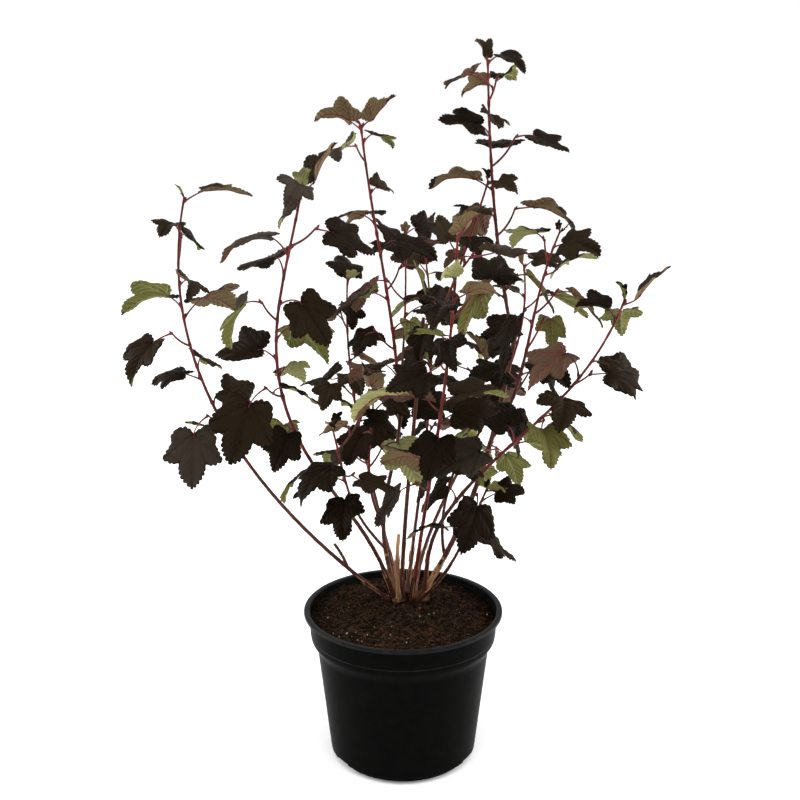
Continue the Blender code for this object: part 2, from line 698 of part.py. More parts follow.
def main():
    clear_scene()
    parts = new_collection("potted_ninebark")
    cutters = new_collection("cutters", hidden=True)
    materials = new_materials()
    build_pot(parts, cutters, materials)
    build_soil(parts, materials)
    build_stool(parts, cutters, materials)
    rounds = build_limbs(parts, cutters, materials)
    profile = place("three_sides", triangle_profile(), cutters)
    profile.hide_render = True
    build_masses(parts, materials, rounds, profile)


main()
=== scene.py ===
"""A potted ninebark in a plain studio: lobed dark leaves, crimson stems, black nursery pot."""

import math
import random
from collections import namedtuple

import bmesh
import bpy
import numpy as np
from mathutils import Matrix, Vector, noise


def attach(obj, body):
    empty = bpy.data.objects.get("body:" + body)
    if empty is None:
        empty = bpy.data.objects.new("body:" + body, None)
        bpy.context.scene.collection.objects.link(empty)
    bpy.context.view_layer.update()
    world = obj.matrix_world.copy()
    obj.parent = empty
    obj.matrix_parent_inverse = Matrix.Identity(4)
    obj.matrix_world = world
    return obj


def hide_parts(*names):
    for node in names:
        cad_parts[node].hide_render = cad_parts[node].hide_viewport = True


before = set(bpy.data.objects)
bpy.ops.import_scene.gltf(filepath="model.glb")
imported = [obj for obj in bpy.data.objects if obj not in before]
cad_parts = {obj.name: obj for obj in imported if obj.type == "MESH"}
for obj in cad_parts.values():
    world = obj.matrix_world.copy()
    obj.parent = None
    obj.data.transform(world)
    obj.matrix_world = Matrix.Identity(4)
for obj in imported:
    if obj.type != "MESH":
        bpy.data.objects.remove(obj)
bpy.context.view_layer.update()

# Pot: the rim's width drives it, and the other radii and heights are the pot's real ones.
RIM_RADIUS = 0.115
POT_HEIGHT = 0.182
LIP_ROLL = 0.0015
LIP_STEPS = 5
LIP_DROP = 0.0035  # how far down the lip's underside is
COLLAR_RADIUS = 0.1068
COLLAR_DRAFT = 0.0031
COLLAR_FOOT = 0.148
SHOULDER_RADIUS = 0.0998
SHOULDER_FOOT = 0.137
BODY_FOOT_RADIUS = 0.085
STEP_HEIGHT = 0.006
STEP_BEVEL = 0.002
FOOT_RADIUS = 0.0776
FOOT_BEVEL = 0.001
WALL = 0.0018
FLOOR = 0.003
NOTCHES = 3
NOTCH_TURN = 93  # degrees from the right to the first notch
NOTCH_WIDTH = 0.024
NOTCH_HEIGHT = 0.01
NOTCH_DEPTH = 0.016
NOTCH_BITE = 0.004  # how far a notch goes into the foot ring

# Soil: a flat crown that the shrub stands on, falling off toward the wall.
SOIL_TOP = 0.1765
SOIL_FLAT = 0.074
SOIL_FALL = 0.0045

# Clearance between neighbours that touch on the real plant.
GAP = 0.0003

STOOL_FLARE = 0.7  # how much wider a stem gets where it stands on the soil
TWIG_RADII = (0.0013, 0.001)
STALK_RADII = (0.0011, 0.0006)

PULL = 1.1  # how strongly a stem keeps its direction at foot and tip
HEADING_STEP = 0.01  # half the share of a stem over which its direction is taken
LENGTH_SAMPLES = 200
FULL_TURN = 6.3  # radians, a little over one turn, for drawing angles and phases

# Foliage rule. Lengths are shares of the blade where nothing else is said.
SEED = 1
SPRAY_LEAVES = 4
TURN = 144  # degrees round the stem from each leaf to the next
TURN_SPREAD = 28
PLACE_SPREAD = 0.4
BLADE_RANGE = (0.66, 1.16)
STALK_RANGE = (0.24, 0.5)
YOUNG_FROM = 0.55  # share of the leafy length beyond which leaves get smaller and stand up
YOUNG_SHRINK = 0.2
YOUNG_RISE = 50
HEADING_SPREAD = 35
PITCH_RANGE = (-65, 25)
ROLL_SPREAD = 42
ARCH_RANGE = (20, 85)
STEEP_ARCH = 0.8  # how much less a blade arches that already hangs
FOLD_RANGE = (2, 26)
YOUNG_FOLD = 10
CURL_RANGE = (15, 80)
TWIST_SPREAD = 30
STALK_RISE = 0.64  # along the stem, against STALK_OUT away from it
STALK_OUT = 0.77
TO_ELBOW, FROM_ELBOW = 0.55, 0.45  # the shares of a stalk before and after its bend
STALK_AHEAD = 0.7  # how far a stalk turns the blade's way at its bend
TWIG_UP = 0.5  # how far a twig turns the stem's way at its bend
TWIG_LEAF = 1  # the leaf of each run that stands on a side twig
TWIG_RANGE = (0.02, 0.048)  # metres
TWIG_PARTNER = (0.55, 0.75)  # where the twig's second leaf stands, and its size
TIP_PLACE = 0.985  # where the last leaf of a stem stands, in its leafy length
TIP_LEAF = (0.993, 0.8)  # where on the stem its small upright leaf stands, and its size
TIP_RISE = 1.5  # how far that leaf turns toward the stem's own way
TIP_FOLD = 22  # degrees that its halves fold together further
LOWEST_LEAF = 0.2  # no leaf hangs into the pot
BLADE_CLEAR = 0.0064
STALK_CLEAR = 0.0048
LIMB_CLEAR = 0.0052

# Half of a blade's outline from foot to tip, in shares of its length along and across.
HALF_OUTLINE = ((-0.09, 0.3), (0.19, 0.4), (0.45, 0.49), (0.57, 0.28))
OUTLINE_BOX = ((-0.1, 1), (-0.5, 0.51))
SAMPLE_STEP = 0.075
STALK_SAMPLES = 4
STALK_FROM = 0.3  # a stalk's samples start past its root
LIMB_SAMPLES = 160

# Stems: each is a smooth curve from its foot to its tip, past any knees. A foot is a place on
# the soil, or another stem and a share of its length. Start and end are directions there, an
# azimuth and a lean from upright in degrees, and the radii are at foot and tip. Leaves start at
# the share named leafy, and sprays is how many runs of leaves follow one another.
Shoot = namedtuple("Shoot", "name foot start tip end radii leafy blade sprays knees",
                   defaults=(1.0, 0.0, 0, ()))
SHOOTS = [Shoot(*row) for row in (
    ("far_left", (-0.016, 0.032), (192, 49), (-0.231, -0.02, 0.661),
     (4, 13), (0.0025, 0.0011), 0.47, 0.062, 3),
    ("left", (-0.01, 0.034), (185, 14), (-0.102, -0.09, 0.682), (40, 14), (0.0026, 0.0012),
     0.38, 0.07, 4, ((-0.129, -0.06, 0.455),)),
    ("centre_left", (-0.008, 0.042), (150, 14), (-0.048, 0.12, 0.723), (170, 6),
     (0.0028, 0.0012), 0.36, 0.062, 5, ((-0.023, 0.052, 0.266), (-0.004, 0.09, 0.4))),
    ("pruned_middle", (-0.002, 0.04), (80, 10), (0.023, 0.06, 0.513), (0, 4), (0.0027, 0.002)),
    ("pruned_right", (0.02, 0.04), (6, 32), (0.129, 0.05, 0.508), (348, 9), (0.0033, 0.0026)),
    ("stub_upright", (-0.005, 0.03), (180, 4), (-0.005, 0.029, 0.261), (0, 6), (0.0025, 0.0022)),
    ("stub_left", ("far_left", 0.115), (190, 20), (-0.08, 0.02, 0.253), (196, 36), (0.0019, 0.0017)),
    ("tall", ("pruned_right", 0.94), (225, 18), (0.09, 0.04, 0.8),
     (180, 2), (0.0022, 0.0011), 0.12, 0.06, 4),
    ("far_right", (0.024, 0.035), (0, 6), (0.227, -0.09, 0.567), (10, 20), (0.0026, 0.0011),
     0.28, 0.062, 5, ((0.045, 0.018, 0.283),)),
    ("front", (0.011, 0.03), (285, 18), (0.053, -0.14, 0.646),
     (279, 9), (0.0025, 0.0012), 0.3, 0.064, 6),
    ("right", ("pruned_right", 0.61), (319, 34), (0.165, -0.03, 0.627),
     (319, 25), (0.0022, 0.0011), 0.16, 0.062, 4),
    ("middle", ("pruned_middle", 0.85), (318, 28), (0.092, 0.03, 0.671),
     (345, 17), (0.0019, 0.0011), 0.15, 0.058, 4),
    ("inner_left", ("centre_left", 0.11), (228, 44), (-0.075, -0.1, 0.435),
     (250, 27), (0.0019, 0.0011), 0.4, 0.062, 3),
    ("inner_up", ("centre_left", 0.16), (227, 32), (-0.032, -0.03, 0.456),
     (275, 19), (0.0019, 0.0011), 0.4, 0.058, 3),
    ("low_right", (0.016, 0.029), (342, 46), (0.093, -0.02, 0.334),
     (321, 25), (0.0022, 0.0012), 0.5, 0.058, 2),
    ("inner_right", ("pruned_right", 0.16), (114, 27), (0.099, 0.13, 0.444),
     (80, 15), (0.002, 0.0011), 0.35, 0.06, 3),
    ("back_thin", ("centre_left", 0.42), (84, 40), (0.002, 0.17, 0.59),
     (96, 26), (0.0017, 0.001), 0.25, 0.058, 3),
    ("back_left", (-0.004, 0.047), (110, 41), (-0.069, 0.23, 0.52),
     (52, 5), (0.0024, 0.0011), 0.35, 0.062, 3),
    ("back_right", (0.014, 0.048), (82, 47), (0.15, 0.23, 0.54),
     (153, 9), (0.0025, 0.0011), 0.35, 0.062, 3),
    ("back_middle", (0.005, 0.049), (84, 57), (0.026, 0.23, 0.56),
     (192, 10), (0.0024, 0.0011), 0.38, 0.062, 3),
)]
STEM = {shoot.name: shoot for shoot in SHOOTS}
Leaf = namedtuple("Leaf", "shoot stalk base ahead up length arch fold curl twist twig")


def unit(vector):
    return vector / np.linalg.norm(vector)


def units(vectors):
    return vectors / np.linalg.norm(vectors, axis=1)[:, None]


def level(azimuth):
    """The level direction of an azimuth in radians."""
    return np.array((math.cos(azimuth), math.sin(azimuth), 0.0))


def leaning(azimuth, lean):
    """The direction at an azimuth and a lean from upright, in degrees."""
    lean = math.radians(lean)
    return level(math.radians(azimuth)) * math.sin(lean) + (0, 0, math.cos(lean))


def steps_of(line):
    """The distance from each point of a line to the next."""
    return np.linalg.norm(np.diff(line, axis=0), axis=1)


def bent(start, pull, stop, steps):
    """Points on a curve from start to stop that is pulled toward a third point."""
    t = np.linspace(0, 1, steps)[:, None]
    return (1 - t)**2 * start + 2 * t * (1 - t) * pull + t**2 * stop


def from_soil(shoot):
    return not isinstance(shoot.foot[0], str)


def foot_of(shoot):
    if from_soil(shoot):
        return np.array((*shoot.foot, SOIL_TOP))
    return along(STEM[shoot.foot[0]], shoot.foot[1])


def along(shoot, share):
    """Points of a stem's centre line at some shares of its length."""
    marks = np.array([foot_of(shoot), *shoot.knees, shoot.tip])
    spans = steps_of(marks)
    ways = [leaning(*shoot.start)]
    ways += [unit(marks[i + 1] - marks[i - 1]) for i in range(1, len(marks) - 1)]
    ways.append(leaning(*shoot.end))
    ends = np.concatenate(([0], np.cumsum(spans))) / spans.sum()
    share = np.clip(np.asarray(share, float), 0, 1)
    piece = np.clip(np.searchsorted(ends, share, "right") - 1, 0, len(spans) - 1)
    t = ((share - ends[piece]) / (ends[piece + 1] - ends[piece]))[..., None]
    pull = (PULL * spans[piece])[..., None]
    leave, arrive = np.array(ways)[piece] * pull, np.array(ways)[piece + 1] * pull
    start, stop = marks[piece], marks[piece + 1]
    return ((2 * t**3 - 3 * t**2 + 1) * start + (t**3 - 2 * t**2 + t) * leave
            + (3 * t**2 - 2 * t**3) * stop + (t**3 - t**2) * arrive)


def heading_of(shoot, share):
    ahead, behind = min(share + HEADING_STEP, 1), max(share - HEADING_STEP, 0)
    return unit(along(shoot, ahead) - along(shoot, behind))


def length_of(shoot):
    return steps_of(along(shoot, np.linspace(0, 1, LENGTH_SAMPLES))).sum()


def rising(axis, azimuth):
    """The way that a stalk leaves a stem: up along it, and out toward an azimuth."""
    out = level(azimuth)
    out = unit(out - axis * (out @ axis))
    return unit(axis * STALK_RISE + out * STALK_OUT)


def make_leaf(draw, shoot, node, axis, azimuth, size, youth, twig):
    """One leaf: its stalk from the node, and how its blade lies and bends."""
    length = shoot.blade * size * (1 - YOUNG_SHRINK * youth) * draw(*BLADE_RANGE)
    stalk = length * draw(*STALK_RANGE)
    heading = math.radians(azimuth + draw(-HEADING_SPREAD, HEADING_SPREAD))
    pitch = math.radians(draw(*PITCH_RANGE) + YOUNG_RISE * youth)
    droop = max(0, -pitch) / (math.pi / 2)
    roll = math.radians(draw(-ROLL_SPREAD, ROLL_SPREAD))
    arch = math.radians(draw(*ARCH_RANGE)) * (1 - STEEP_ARCH * droop)
    fold = math.radians(draw(*FOLD_RANGE) + YOUNG_FOLD * youth)
    curl = math.radians(draw(*CURL_RANGE))
    twist = math.radians(draw(-TWIST_SPREAD, TWIST_SPREAD))
    ahead = level(heading) * math.cos(pitch) + (0, 0, math.sin(pitch))
    up = unit((0, 0, 1) - ahead * ahead[2])
    up = up * math.cos(roll) + np.cross(ahead, up) * math.sin(roll)
    rise = rising(axis, math.radians(azimuth))
    elbow = node + rise * stalk * TO_ELBOW
    base = elbow + unit(rise + STALK_AHEAD * ahead) * stalk * FROM_ELBOW
    return Leaf(shoot.name, (node, elbow, base), base, ahead, up, length, arch, fold, curl,
                twist, twig)


def raised(leaf, axis, rise, fold):
    """A leaf turned toward the stem's own way, its halves folded by an angle."""
    ahead = unit(leaf.ahead + axis * rise)
    up = unit(leaf.up - ahead * (leaf.up @ ahead))
    return leaf._replace(ahead=ahead, up=up, fold=fold)


def upright_leaf(draw, shoot, azimuth):
    """The small folded leaf that stands up at a stem's tip."""
    place, size = TIP_LEAF
    axis = heading_of(shoot, place)
    leaf = make_leaf(draw, shoot, along(shoot, place), axis, azimuth, size, 1, None)
    return raised(leaf, axis, TIP_RISE, leaf.fold + math.radians(TIP_FOLD))


def spray_of(shoot, index):
    """The leaves of one run along a stem, two of them on a short side twig."""
    draw = random.Random(f"{SEED} {shoot.name} {index}").uniform
    phase = draw(0, 360)
    in_all = SPRAY_LEAVES * shoot.sprays
    leaves = []
    for i in range(SPRAY_LEAVES):
        share = (index * SPRAY_LEAVES + i + 0.5 + draw(-PLACE_SPREAD, PLACE_SPREAD)) / in_all
        if index * SPRAY_LEAVES + i + 1 == in_all:
            share = TIP_PLACE
        youth = max(0, share - YOUNG_FROM) / (1 - YOUNG_FROM)
        azimuth = phase + TURN * i + draw(-TURN_SPREAD, TURN_SPREAD)
        place = shoot.leafy + (1 - shoot.leafy) * share
        node, axis = along(shoot, place), heading_of(shoot, place)
        if i != TWIG_LEAF:
            leaves.append(make_leaf(draw, shoot, node, axis, azimuth, 1, youth, None))
            continue
        reach = draw(*TWIG_RANGE) * (1 - YOUNG_SHRINK * youth)
        rise = rising(axis, math.radians(azimuth))
        elbow = node + rise * reach / 2
        out = unit(rise + TWIG_UP * axis)
        twig = (node, elbow, elbow + out * reach / 2)
        leaves.append(make_leaf(draw, shoot, twig[2], out, azimuth, 1, youth, twig))
        place, size = TWIG_PARTNER
        partner = elbow + (twig[2] - elbow) * (2 * place - 1)
        leaves.append(make_leaf(draw, shoot, partner, rise, azimuth + TURN, size, youth, twig))
    if index == shoot.sprays - 1:
        leaves.append(upright_leaf(draw, shoot, phase + TURN * SPRAY_LEAVES))
    return leaves


def blade_at(leaf, u, v):
    """Points of a blade's middle surface, u along and v across it in shares of its length.

    The midrib droops in an arc, each half rises from it and curls down again, and the whole
    blade twists slightly.
    """
    u, v = np.asarray(u, float), np.asarray(v, float)
    side = np.cross(leaf.ahead, leaf.up)
    bend = leaf.arch * u
    rib = (np.sin(bend)[..., None] * leaf.ahead
           - (1 - np.cos(bend))[..., None] * leaf.up) / leaf.arch
    over = np.cos(bend)[..., None] * leaf.up + np.sin(bend)[..., None] * leaf.ahead
    slope = leaf.fold - leaf.curl * np.abs(v)
    out = np.sign(v) * (math.sin(leaf.fold) - np.sin(slope)) / leaf.curl
    lift = (np.cos(slope) - math.cos(leaf.fold)) / leaf.curl
    turn = leaf.twist * u
    across = (out * np.cos(turn) - lift * np.sin(turn))[..., None]
    above = (out * np.sin(turn) + lift * np.cos(turn))[..., None]
    return leaf.base + leaf.length * (rib + across * side + above * over)


def inside_outline():
    """A grid of u and v over the blade."""
    half = np.array(HALF_OUTLINE)
    edge = np.concatenate(([(0, 0)], half, [(1, 0)], half[::-1] * (1, -1)))
    u, v = np.meshgrid(*(np.arange(*reach, SAMPLE_STEP) for reach in OUTLINE_BOX), indexing="ij")
    within = np.zeros(u.shape, bool)
    for (u1, v1), (u2, v2) in zip(edge, np.roll(edge, -1, axis=0)):
        if v1 != v2:
            crosses = (v1 > v) != (v2 > v)
            within ^= crosses & (u < (u2 - u1) * (v - v1) / (v2 - v1) + u1)
    return u[within], v[within]


def stalk_points(chain):
    """Points along a stalk or twig, from past its root to its end."""
    first, elbow, last = chain
    shares = np.linspace(STALK_FROM, 1, STALK_SAMPLES)[:, None]
    lower = first + (elbow - first) * shares
    return np.concatenate((lower, elbow + (last - elbow) * shares))


def far_enough(points, clouds, gap):
    """Whether no point lies within the gap of any cloud."""
    low, high = points.min(axis=0) - gap, points.max(axis=0) + gap
    for cloud in clouds:
        near = cloud[((cloud > low) & (cloud < high)).all(axis=1)]
        if len(near) and ((points[:, None] - near) ** 2).sum(axis=2).min() < gap**2:
            return False
    return True


def grow():
    """Every mass's leaves. One that would touch a limb or another leaf is skipped."""
    u, v = inside_outline()
    limbs = {shoot.name: along(shoot, np.linspace(0, 1, LIMB_SAMPLES)) for shoot in SHOOTS}
    masses = {shoot.name: [] for shoot in SHOOTS if shoot.sprays}
    blades, stalks = [], []
    for shoot in SHOOTS:
        others = [limb for name, limb in limbs.items() if name != shoot.name]
        for index in range(shoot.sprays):
            twig_kept = None
            for leaf in spray_of(shoot, index):
                new_twig = leaf.twig is not None and leaf.twig is not twig_kept
                if new_twig and leaf.stalk[0] is not leaf.twig[2]:
                    continue
                blade = blade_at(leaf, u, v)
                arm = stalk_points(leaf.stalk)
                if new_twig:
                    arm = np.concatenate((arm, stalk_points(leaf.twig)))
                foreign = [cloud for name, cloud in stalks if name != shoot.name]
                if (blade[:, 2].min() > LOWEST_LEAF
                        and far_enough(blade, limbs.values(), LIMB_CLEAR)
                        and far_enough(arm, others + foreign, STALK_CLEAR)
                        and far_enough(blade, blades, BLADE_CLEAR)
                        and far_enough(blade, [cloud for _, cloud in stalks], BLADE_CLEAR)
                        and far_enough(arm, blades, BLADE_CLEAR)):
                    masses[shoot.name].append(leaf)
                    blades.append(blade)
                    stalks.append((shoot.name, arm))
                    if new_twig:
                        twig_kept = leaf.twig
    return masses


def pot_wall():
    """The outside of the pot's wall, from the collar's top down to the foot ring."""
    return [(COLLAR_RADIUS + COLLAR_DRAFT, POT_HEIGHT - LIP_DROP), (COLLAR_RADIUS, COLLAR_FOOT),
            (SHOULDER_RADIUS, SHOULDER_FOOT), (BODY_FOOT_RADIUS, STEP_HEIGHT + STEP_BEVEL),
            (BODY_FOOT_RADIUS - STEP_BEVEL, STEP_HEIGHT), (FOOT_RADIUS, STEP_HEIGHT)]


def pot_inside(inset):
    """The inside of the wall, from the floor's corner up to the lip."""
    wall = [(x - WALL - inset, z) for x, z in pot_wall()[:4]]
    wall[-1] = (wall[-1][0], STEP_HEIGHT + WALL + inset)
    foot = FOOT_RADIUS - WALL - inset
    return [(foot, FLOOR + inset), (foot, STEP_HEIGHT + WALL + inset), *wall[::-1]]


def pot_lip():
    """The narrow lip, from the top of the inside over to its underside."""
    inside, outside = pot_inside(0)[-1][0] + LIP_ROLL, RIM_RADIUS - LIP_ROLL
    top, lip = POT_HEIGHT - LIP_ROLL, []
    for x, start in ((inside, math.pi), (outside, math.pi / 2)):
        for a in np.linspace(start, start - math.pi / 2, LIP_STEPS + 1):
            lip.append((x + LIP_ROLL * math.cos(a), top + LIP_ROLL * math.sin(a)))
    return [*lip, (RIM_RADIUS, POT_HEIGHT - LIP_DROP)]


# Leaves

# One rounded tooth of the margin: how far out or in each of its steps lies.
MARGIN_TOOTH = (0.015, 0.008, -0.016, 0.01)
TOOTH_LEAN = 0.5
RAY_STEPS = 4
VEIN_EVERY = 4
ACROSS = (0.0, 0.07, 0.3, 0.55, 0.8, 1.0)  # where the bands between rib and edge meet
VEIN_BANDS = 4  # how many of them show a vein
QUILT, QUILT_END, QUILT_ROUND = 0.024, 0.9, 0.7
RIB_DIP, DIP_WIDTH = 0.014, 0.2
RIB_RIDGE, RIB_TAPER = 0.009, 0.6
VEIN_RIDGE = 0.006
EDGE_THIN = 0.5
BLADE_HALF = 0.0035  # half the thickness at the middle, as a share of the length

# The margin ruffles in a few long waves round a point near the foot, with finer ripples on
# them. RIPPLE says how fast these change with the phase, along and across.
WAVE = 0.034
WAVE_RANGE = (8, 16)
WAVE_CENTRE = 0.25
WAVE_REACH, WAVE_MOST = 0.5, 1.3
RIPPLE = (2.3, 13, 7)
RIPPLE_SHARE, RIPPLE_REACH = 0.4, 0.4
SLOPE_STEP = 1e-3  # half the stretch over which the blade's slope is measured

# Each patch lies between a rib and the edge on one side of it: the rib's tip, the sinus where
# the edge starts, the point that the edge bulges toward, and the number of steps along it.
NOTCH, SINUS, SIDE_TIP, BASAL_TIP = (0.54, 0.235), (0.18, 0.38), (0.47, 0.5), (-0.09, 0.3)
PATCHES = (
    ((1.0, 0.0), NOTCH, (0.79, 0.235), 24),
    (SIDE_TIP, NOTCH, (0.59, 0.38), 14),
    (SIDE_TIP, SINUS, (0.27, 0.47), 14),
    (BASAL_TIP, SINUS, (0.03, 0.41), 10),
    (BASAL_TIP, (0.0, 0.0), (-0.15, 0.1), 14),
)
LEAVES_A_PIECE = 50


def patch_edge(tip, sinus, bulge, steps):
    """The points of a patch's outer edge: up the ray to the sinus, then the toothed margin."""
    rays = RAY_STEPS if sinus != (0.0, 0.0) else 0
    ray = [np.array(sinus) * i / RAY_STEPS for i in range(rays)]
    curve = bent(sinus, bulge, tip, steps + 1)
    way = units(np.gradient(curve, axis=0))
    out = np.stack((way[:, 1], -way[:, 0]), axis=1)
    middle = np.array(tip) / 2
    if ((curve[steps // 2] - middle) @ out[steps // 2]) < 0:
        out = -out
    for k in range(1, steps):
        tooth = MARGIN_TOOTH[k % VEIN_EVERY] * min(1, k / (2 * VEIN_EVERY))
        curve[k] += out[k] * tooth + way[k] * max(tooth, 0) * TOOTH_LEAN
    return np.array([*ray, *curve]), rays


def signed_area(face, grid):
    """A face's area in u and v, negative where its corners run clockwise."""
    corners = np.array([grid[p] for p in face])
    after = np.roll(corners, -1, axis=0)
    return (corners[:, 0] * after[:, 1] - after[:, 0] * corners[:, 1]).sum() / 2


def triangles_of(face, grid):
    """A clockwise face as triangles, split along the diagonal that keeps both clockwise."""
    if len(face) == 3:
        return [face]
    a, b, c, d = face
    for pair in ([[a, b, c], [a, c, d]], [[b, c, d], [b, d, a]]):
        if all(signed_area(triangle, grid) < 0 for triangle in pair):
            return pair
    return [[a, b, c], [a, c, d]]


def blade_template():
    """One side of a blade: a row for each point, the faces and their kinds.

    A row holds u, v, the relief on top and the ridge on the underside.
    """
    grid, faces, kinds, index = [], [], [], {}
    for tip, sinus, bulge, steps in PATCHES:
        edge, rays = patch_edge(tip, sinus, bulge, steps)
        last = len(edge) - 1
        for mirror in (1, -1):
            rows = []
            for k, end in enumerate(edge):
                root = np.array(tip) * k / last
                vein = 0.5 + 0.5 * math.cos(2 * math.pi * (k - rays) / VEIN_EVERY)
                row = []
                for t in ACROSS:
                    u, v = root + (end - root) * t
                    rise = QUILT * (1 - vein) * math.sin(math.pi * min(t, QUILT_END))**QUILT_ROUND
                    rise += RIB_DIP * (1 - math.exp(-(t / DIP_WIDTH)**2)) - RIB_DIP
                    low = (RIB_RIDGE if t == 0 else 0) * (1 - RIB_TAPER * k / last)
                    low += VEIN_RIDGE * vein**3 * (1 - t) if t else 0
                    spot = (round(u, 5), round(v * mirror, 5))
                    if spot not in index:
                        index[spot] = len(grid)
                        grid.append((u, v * mirror, rise * (1 - EDGE_THIN * t), low))
                    row.append(index[spot])
                rows.append(row)
            for k, (near, far) in enumerate(zip(rows, rows[1:])):
                on_vein = (k - rays) % VEIN_EVERY == 0 and 0 < k < last - 1
                for i in range(len(ACROSS) - 1):
                    face = [near[i], near[i + 1], far[i + 1], far[i]]
                    face = [p for n, p in enumerate(face) if p != face[n - 1]]
                    if len(set(face)) < 3:
                        continue
                    if signed_area(face, grid) > 0:
                        face = face[::-1]
                    kind = "rib" if i == 0 else "vein" if on_vein and i < VEIN_BANDS else "skin"
                    for triangle in triangles_of(face, grid):
                        faces.append(triangle)
                        kinds.append(kind)
    return np.array(grid), faces, kinds


def margin_of(faces):
    """The points on the outline: those on an edge that only one face has."""
    seen = {}
    for face in faces:
        for a, b in zip(face, face[1:] + face[:1]):
            key = (min(a, b), max(a, b))
            seen[key] = seen.get(key, 0) + 1
    return sorted({p for key, n in seen.items() if n == 1 for p in key})


def ruffle_of(u, v, wave):
    """How far the blade is lifted by its ruffles, as a share of its length."""
    phase, count = wave
    reach = np.hypot(u - WAVE_CENTRE, v)
    around = np.arctan2(v, u - WAVE_CENTRE)
    long_waves = WAVE * np.sin(phase + count * around / 2)
    fine = np.sin(RIPPLE[0] * phase + RIPPLE[1] * u + RIPPLE[2] * v)
    return (long_waves * np.clip(reach / WAVE_REACH, 0, WAVE_MOST)**2
            + WAVE * RIPPLE_SHARE * fine * np.clip(reach / RIPPLE_REACH, 0, 1))


def blade_surfaces(leaf, grid, margin, wave):
    """A blade's upper and lower points. On the margin both lie at the middle surface."""
    u, v, relief, ridge = grid.T
    mid = blade_at(leaf, u, v)
    along_u = blade_at(leaf, u + SLOPE_STEP, v) - blade_at(leaf, u - SLOPE_STEP, v)
    along_v = blade_at(leaf, u, v + SLOPE_STEP) - blade_at(leaf, u, v - SLOPE_STEP)
    over = units(np.cross(along_u, along_v))
    if (over[0] @ leaf.up) < 0:
        over = -over
    mid = mid + over * (ruffle_of(u, v, wave) * leaf.length)[:, None]
    inner = 1.0 - margin
    high = (relief + BLADE_HALF) * inner * leaf.length
    deep = (relief - BLADE_HALF - ridge) * inner * leaf.length
    return mid + over * high[:, None], mid + over * deep[:, None]


# Materials

NOISE_DETAIL = 4.0
BUMP_DEPTH = 0.0004
PATCH_EDGES = (0.38, 0.64)  # where in the noise the first colour ends and the second begins
PATCH_SIZE = 3  # the patches' size against the grain's
STREAKS = (1, 1, 0.12)

# The colours of leaves and how they are dealt out: young are a stem's last leaves, and right
# those on the stems named so.
TOPS = ((0.0082, 0.0048, 0.0022), (0.013, 0.0077, 0.0036), (0.0205, 0.0132, 0.0066),
        (0.03, 0.0222, 0.016), (0.085, 0.079, 0.023))
# The second underside, bright yellow-green, is a pale underside with painted backlight, the glow of
# light through the leaf.
UNDERS = ((0.15, 0.112, 0.052), (0.276, 0.274, 0.112), (0.094, 0.052, 0.031),
          (0.12, 0.119, 0.03))
RIB_TINTS = ((0.2, 0.205, 0.08), (0.13, 0.024, 0.022))
VEIN_TINTS = ((0.17, 0.172, 0.062), (0.104, 0.056, 0.033), (0.182, 0.176, 0.066))
VEIN_OF = (1, 2, 1, 0)  # which vein tint goes with each underside
RED_RIBBED = (0, 2)
RED_RIB_ODDS = 0.25  # on the other undersides
YOUNG_LEAVES = 6
TOP_ODDS = {"old": (7, 5, 2, 1, 0), "young": (7, 5, 2, 1, 0), "right": (6, 4, 2, 1, 2)}
UNDER_ODDS = {"old": (4, 2, 1, 4), "young": (5, 2, 3, 1), "right": (3, 3, 1, 4)}

# A look is a name, colour, roughness, grain and relief, and where they aren't the usual ones
# a second colour, shine and the grain's stretch. Each kind of leaf look has several colours.
LEAF_LOOKS = (
    ("top", TOPS, (0.46, 900, 0.25, None, 0.03)),
    ("under", UNDERS, (0.75, 900, 0.2, None, 0.1)),
    ("rib", RIB_TINTS, (0.6, 900, 0.1)),
    ("vein", VEIN_TINTS, (0.75, 900, 0.1, None, 0.1)),
)
BARK_LOOKS = (
    ("old_wood", (0.46, 0.25, 0.12), 0.8, 500, 0.8, (0.14, 0.062, 0.03), 0.2, STREAKS),
    ("brown_bark", (0.042, 0.0115, 0.0085), 0.45, 450, 0.5, (0.086, 0.025, 0.015), 0.14, STREAKS),
    ("young_bark", (0.138, 0.022, 0.019), 0.4, 400, 0.3, (0.058, 0.0125, 0.011), 0.08, STREAKS),
    ("cut_wood", (0.38, 0.24, 0.12), 0.9, 900, 0.4, (0.25, 0.14, 0.07)),
    ("stool_wood", (0.034, 0.018, 0.01), 0.9, 420, 1.0, (0.135, 0.07, 0.032), 0.05),
)
OLD, BROWN, YOUNG, CUT, STOOL = range(len(BARK_LOOKS))
STALK_LOOKS = (
    ("stalk_crimson", (0.118, 0.015, 0.017), 0.42, 500, 0.1),
    ("stalk_brown", (0.034, 0.0085, 0.0075), 0.45, 500, 0.1),
)
# The second plastic is lighter, with patches of scuffs; on the inside, the lip and the mould line it
# is a painted highlight.
POT_LOOKS = (
    ("black_plastic", (0.0016, 0.0016, 0.0015), 0.42, 260, 0.2, (0.0022, 0.0022, 0.002), 0.012),
    ("scuffed_plastic", (0.004, 0.0043, 0.0042), 0.34, 260, 0.2, (0.0072, 0.0076, 0.0074), 0.06),
)
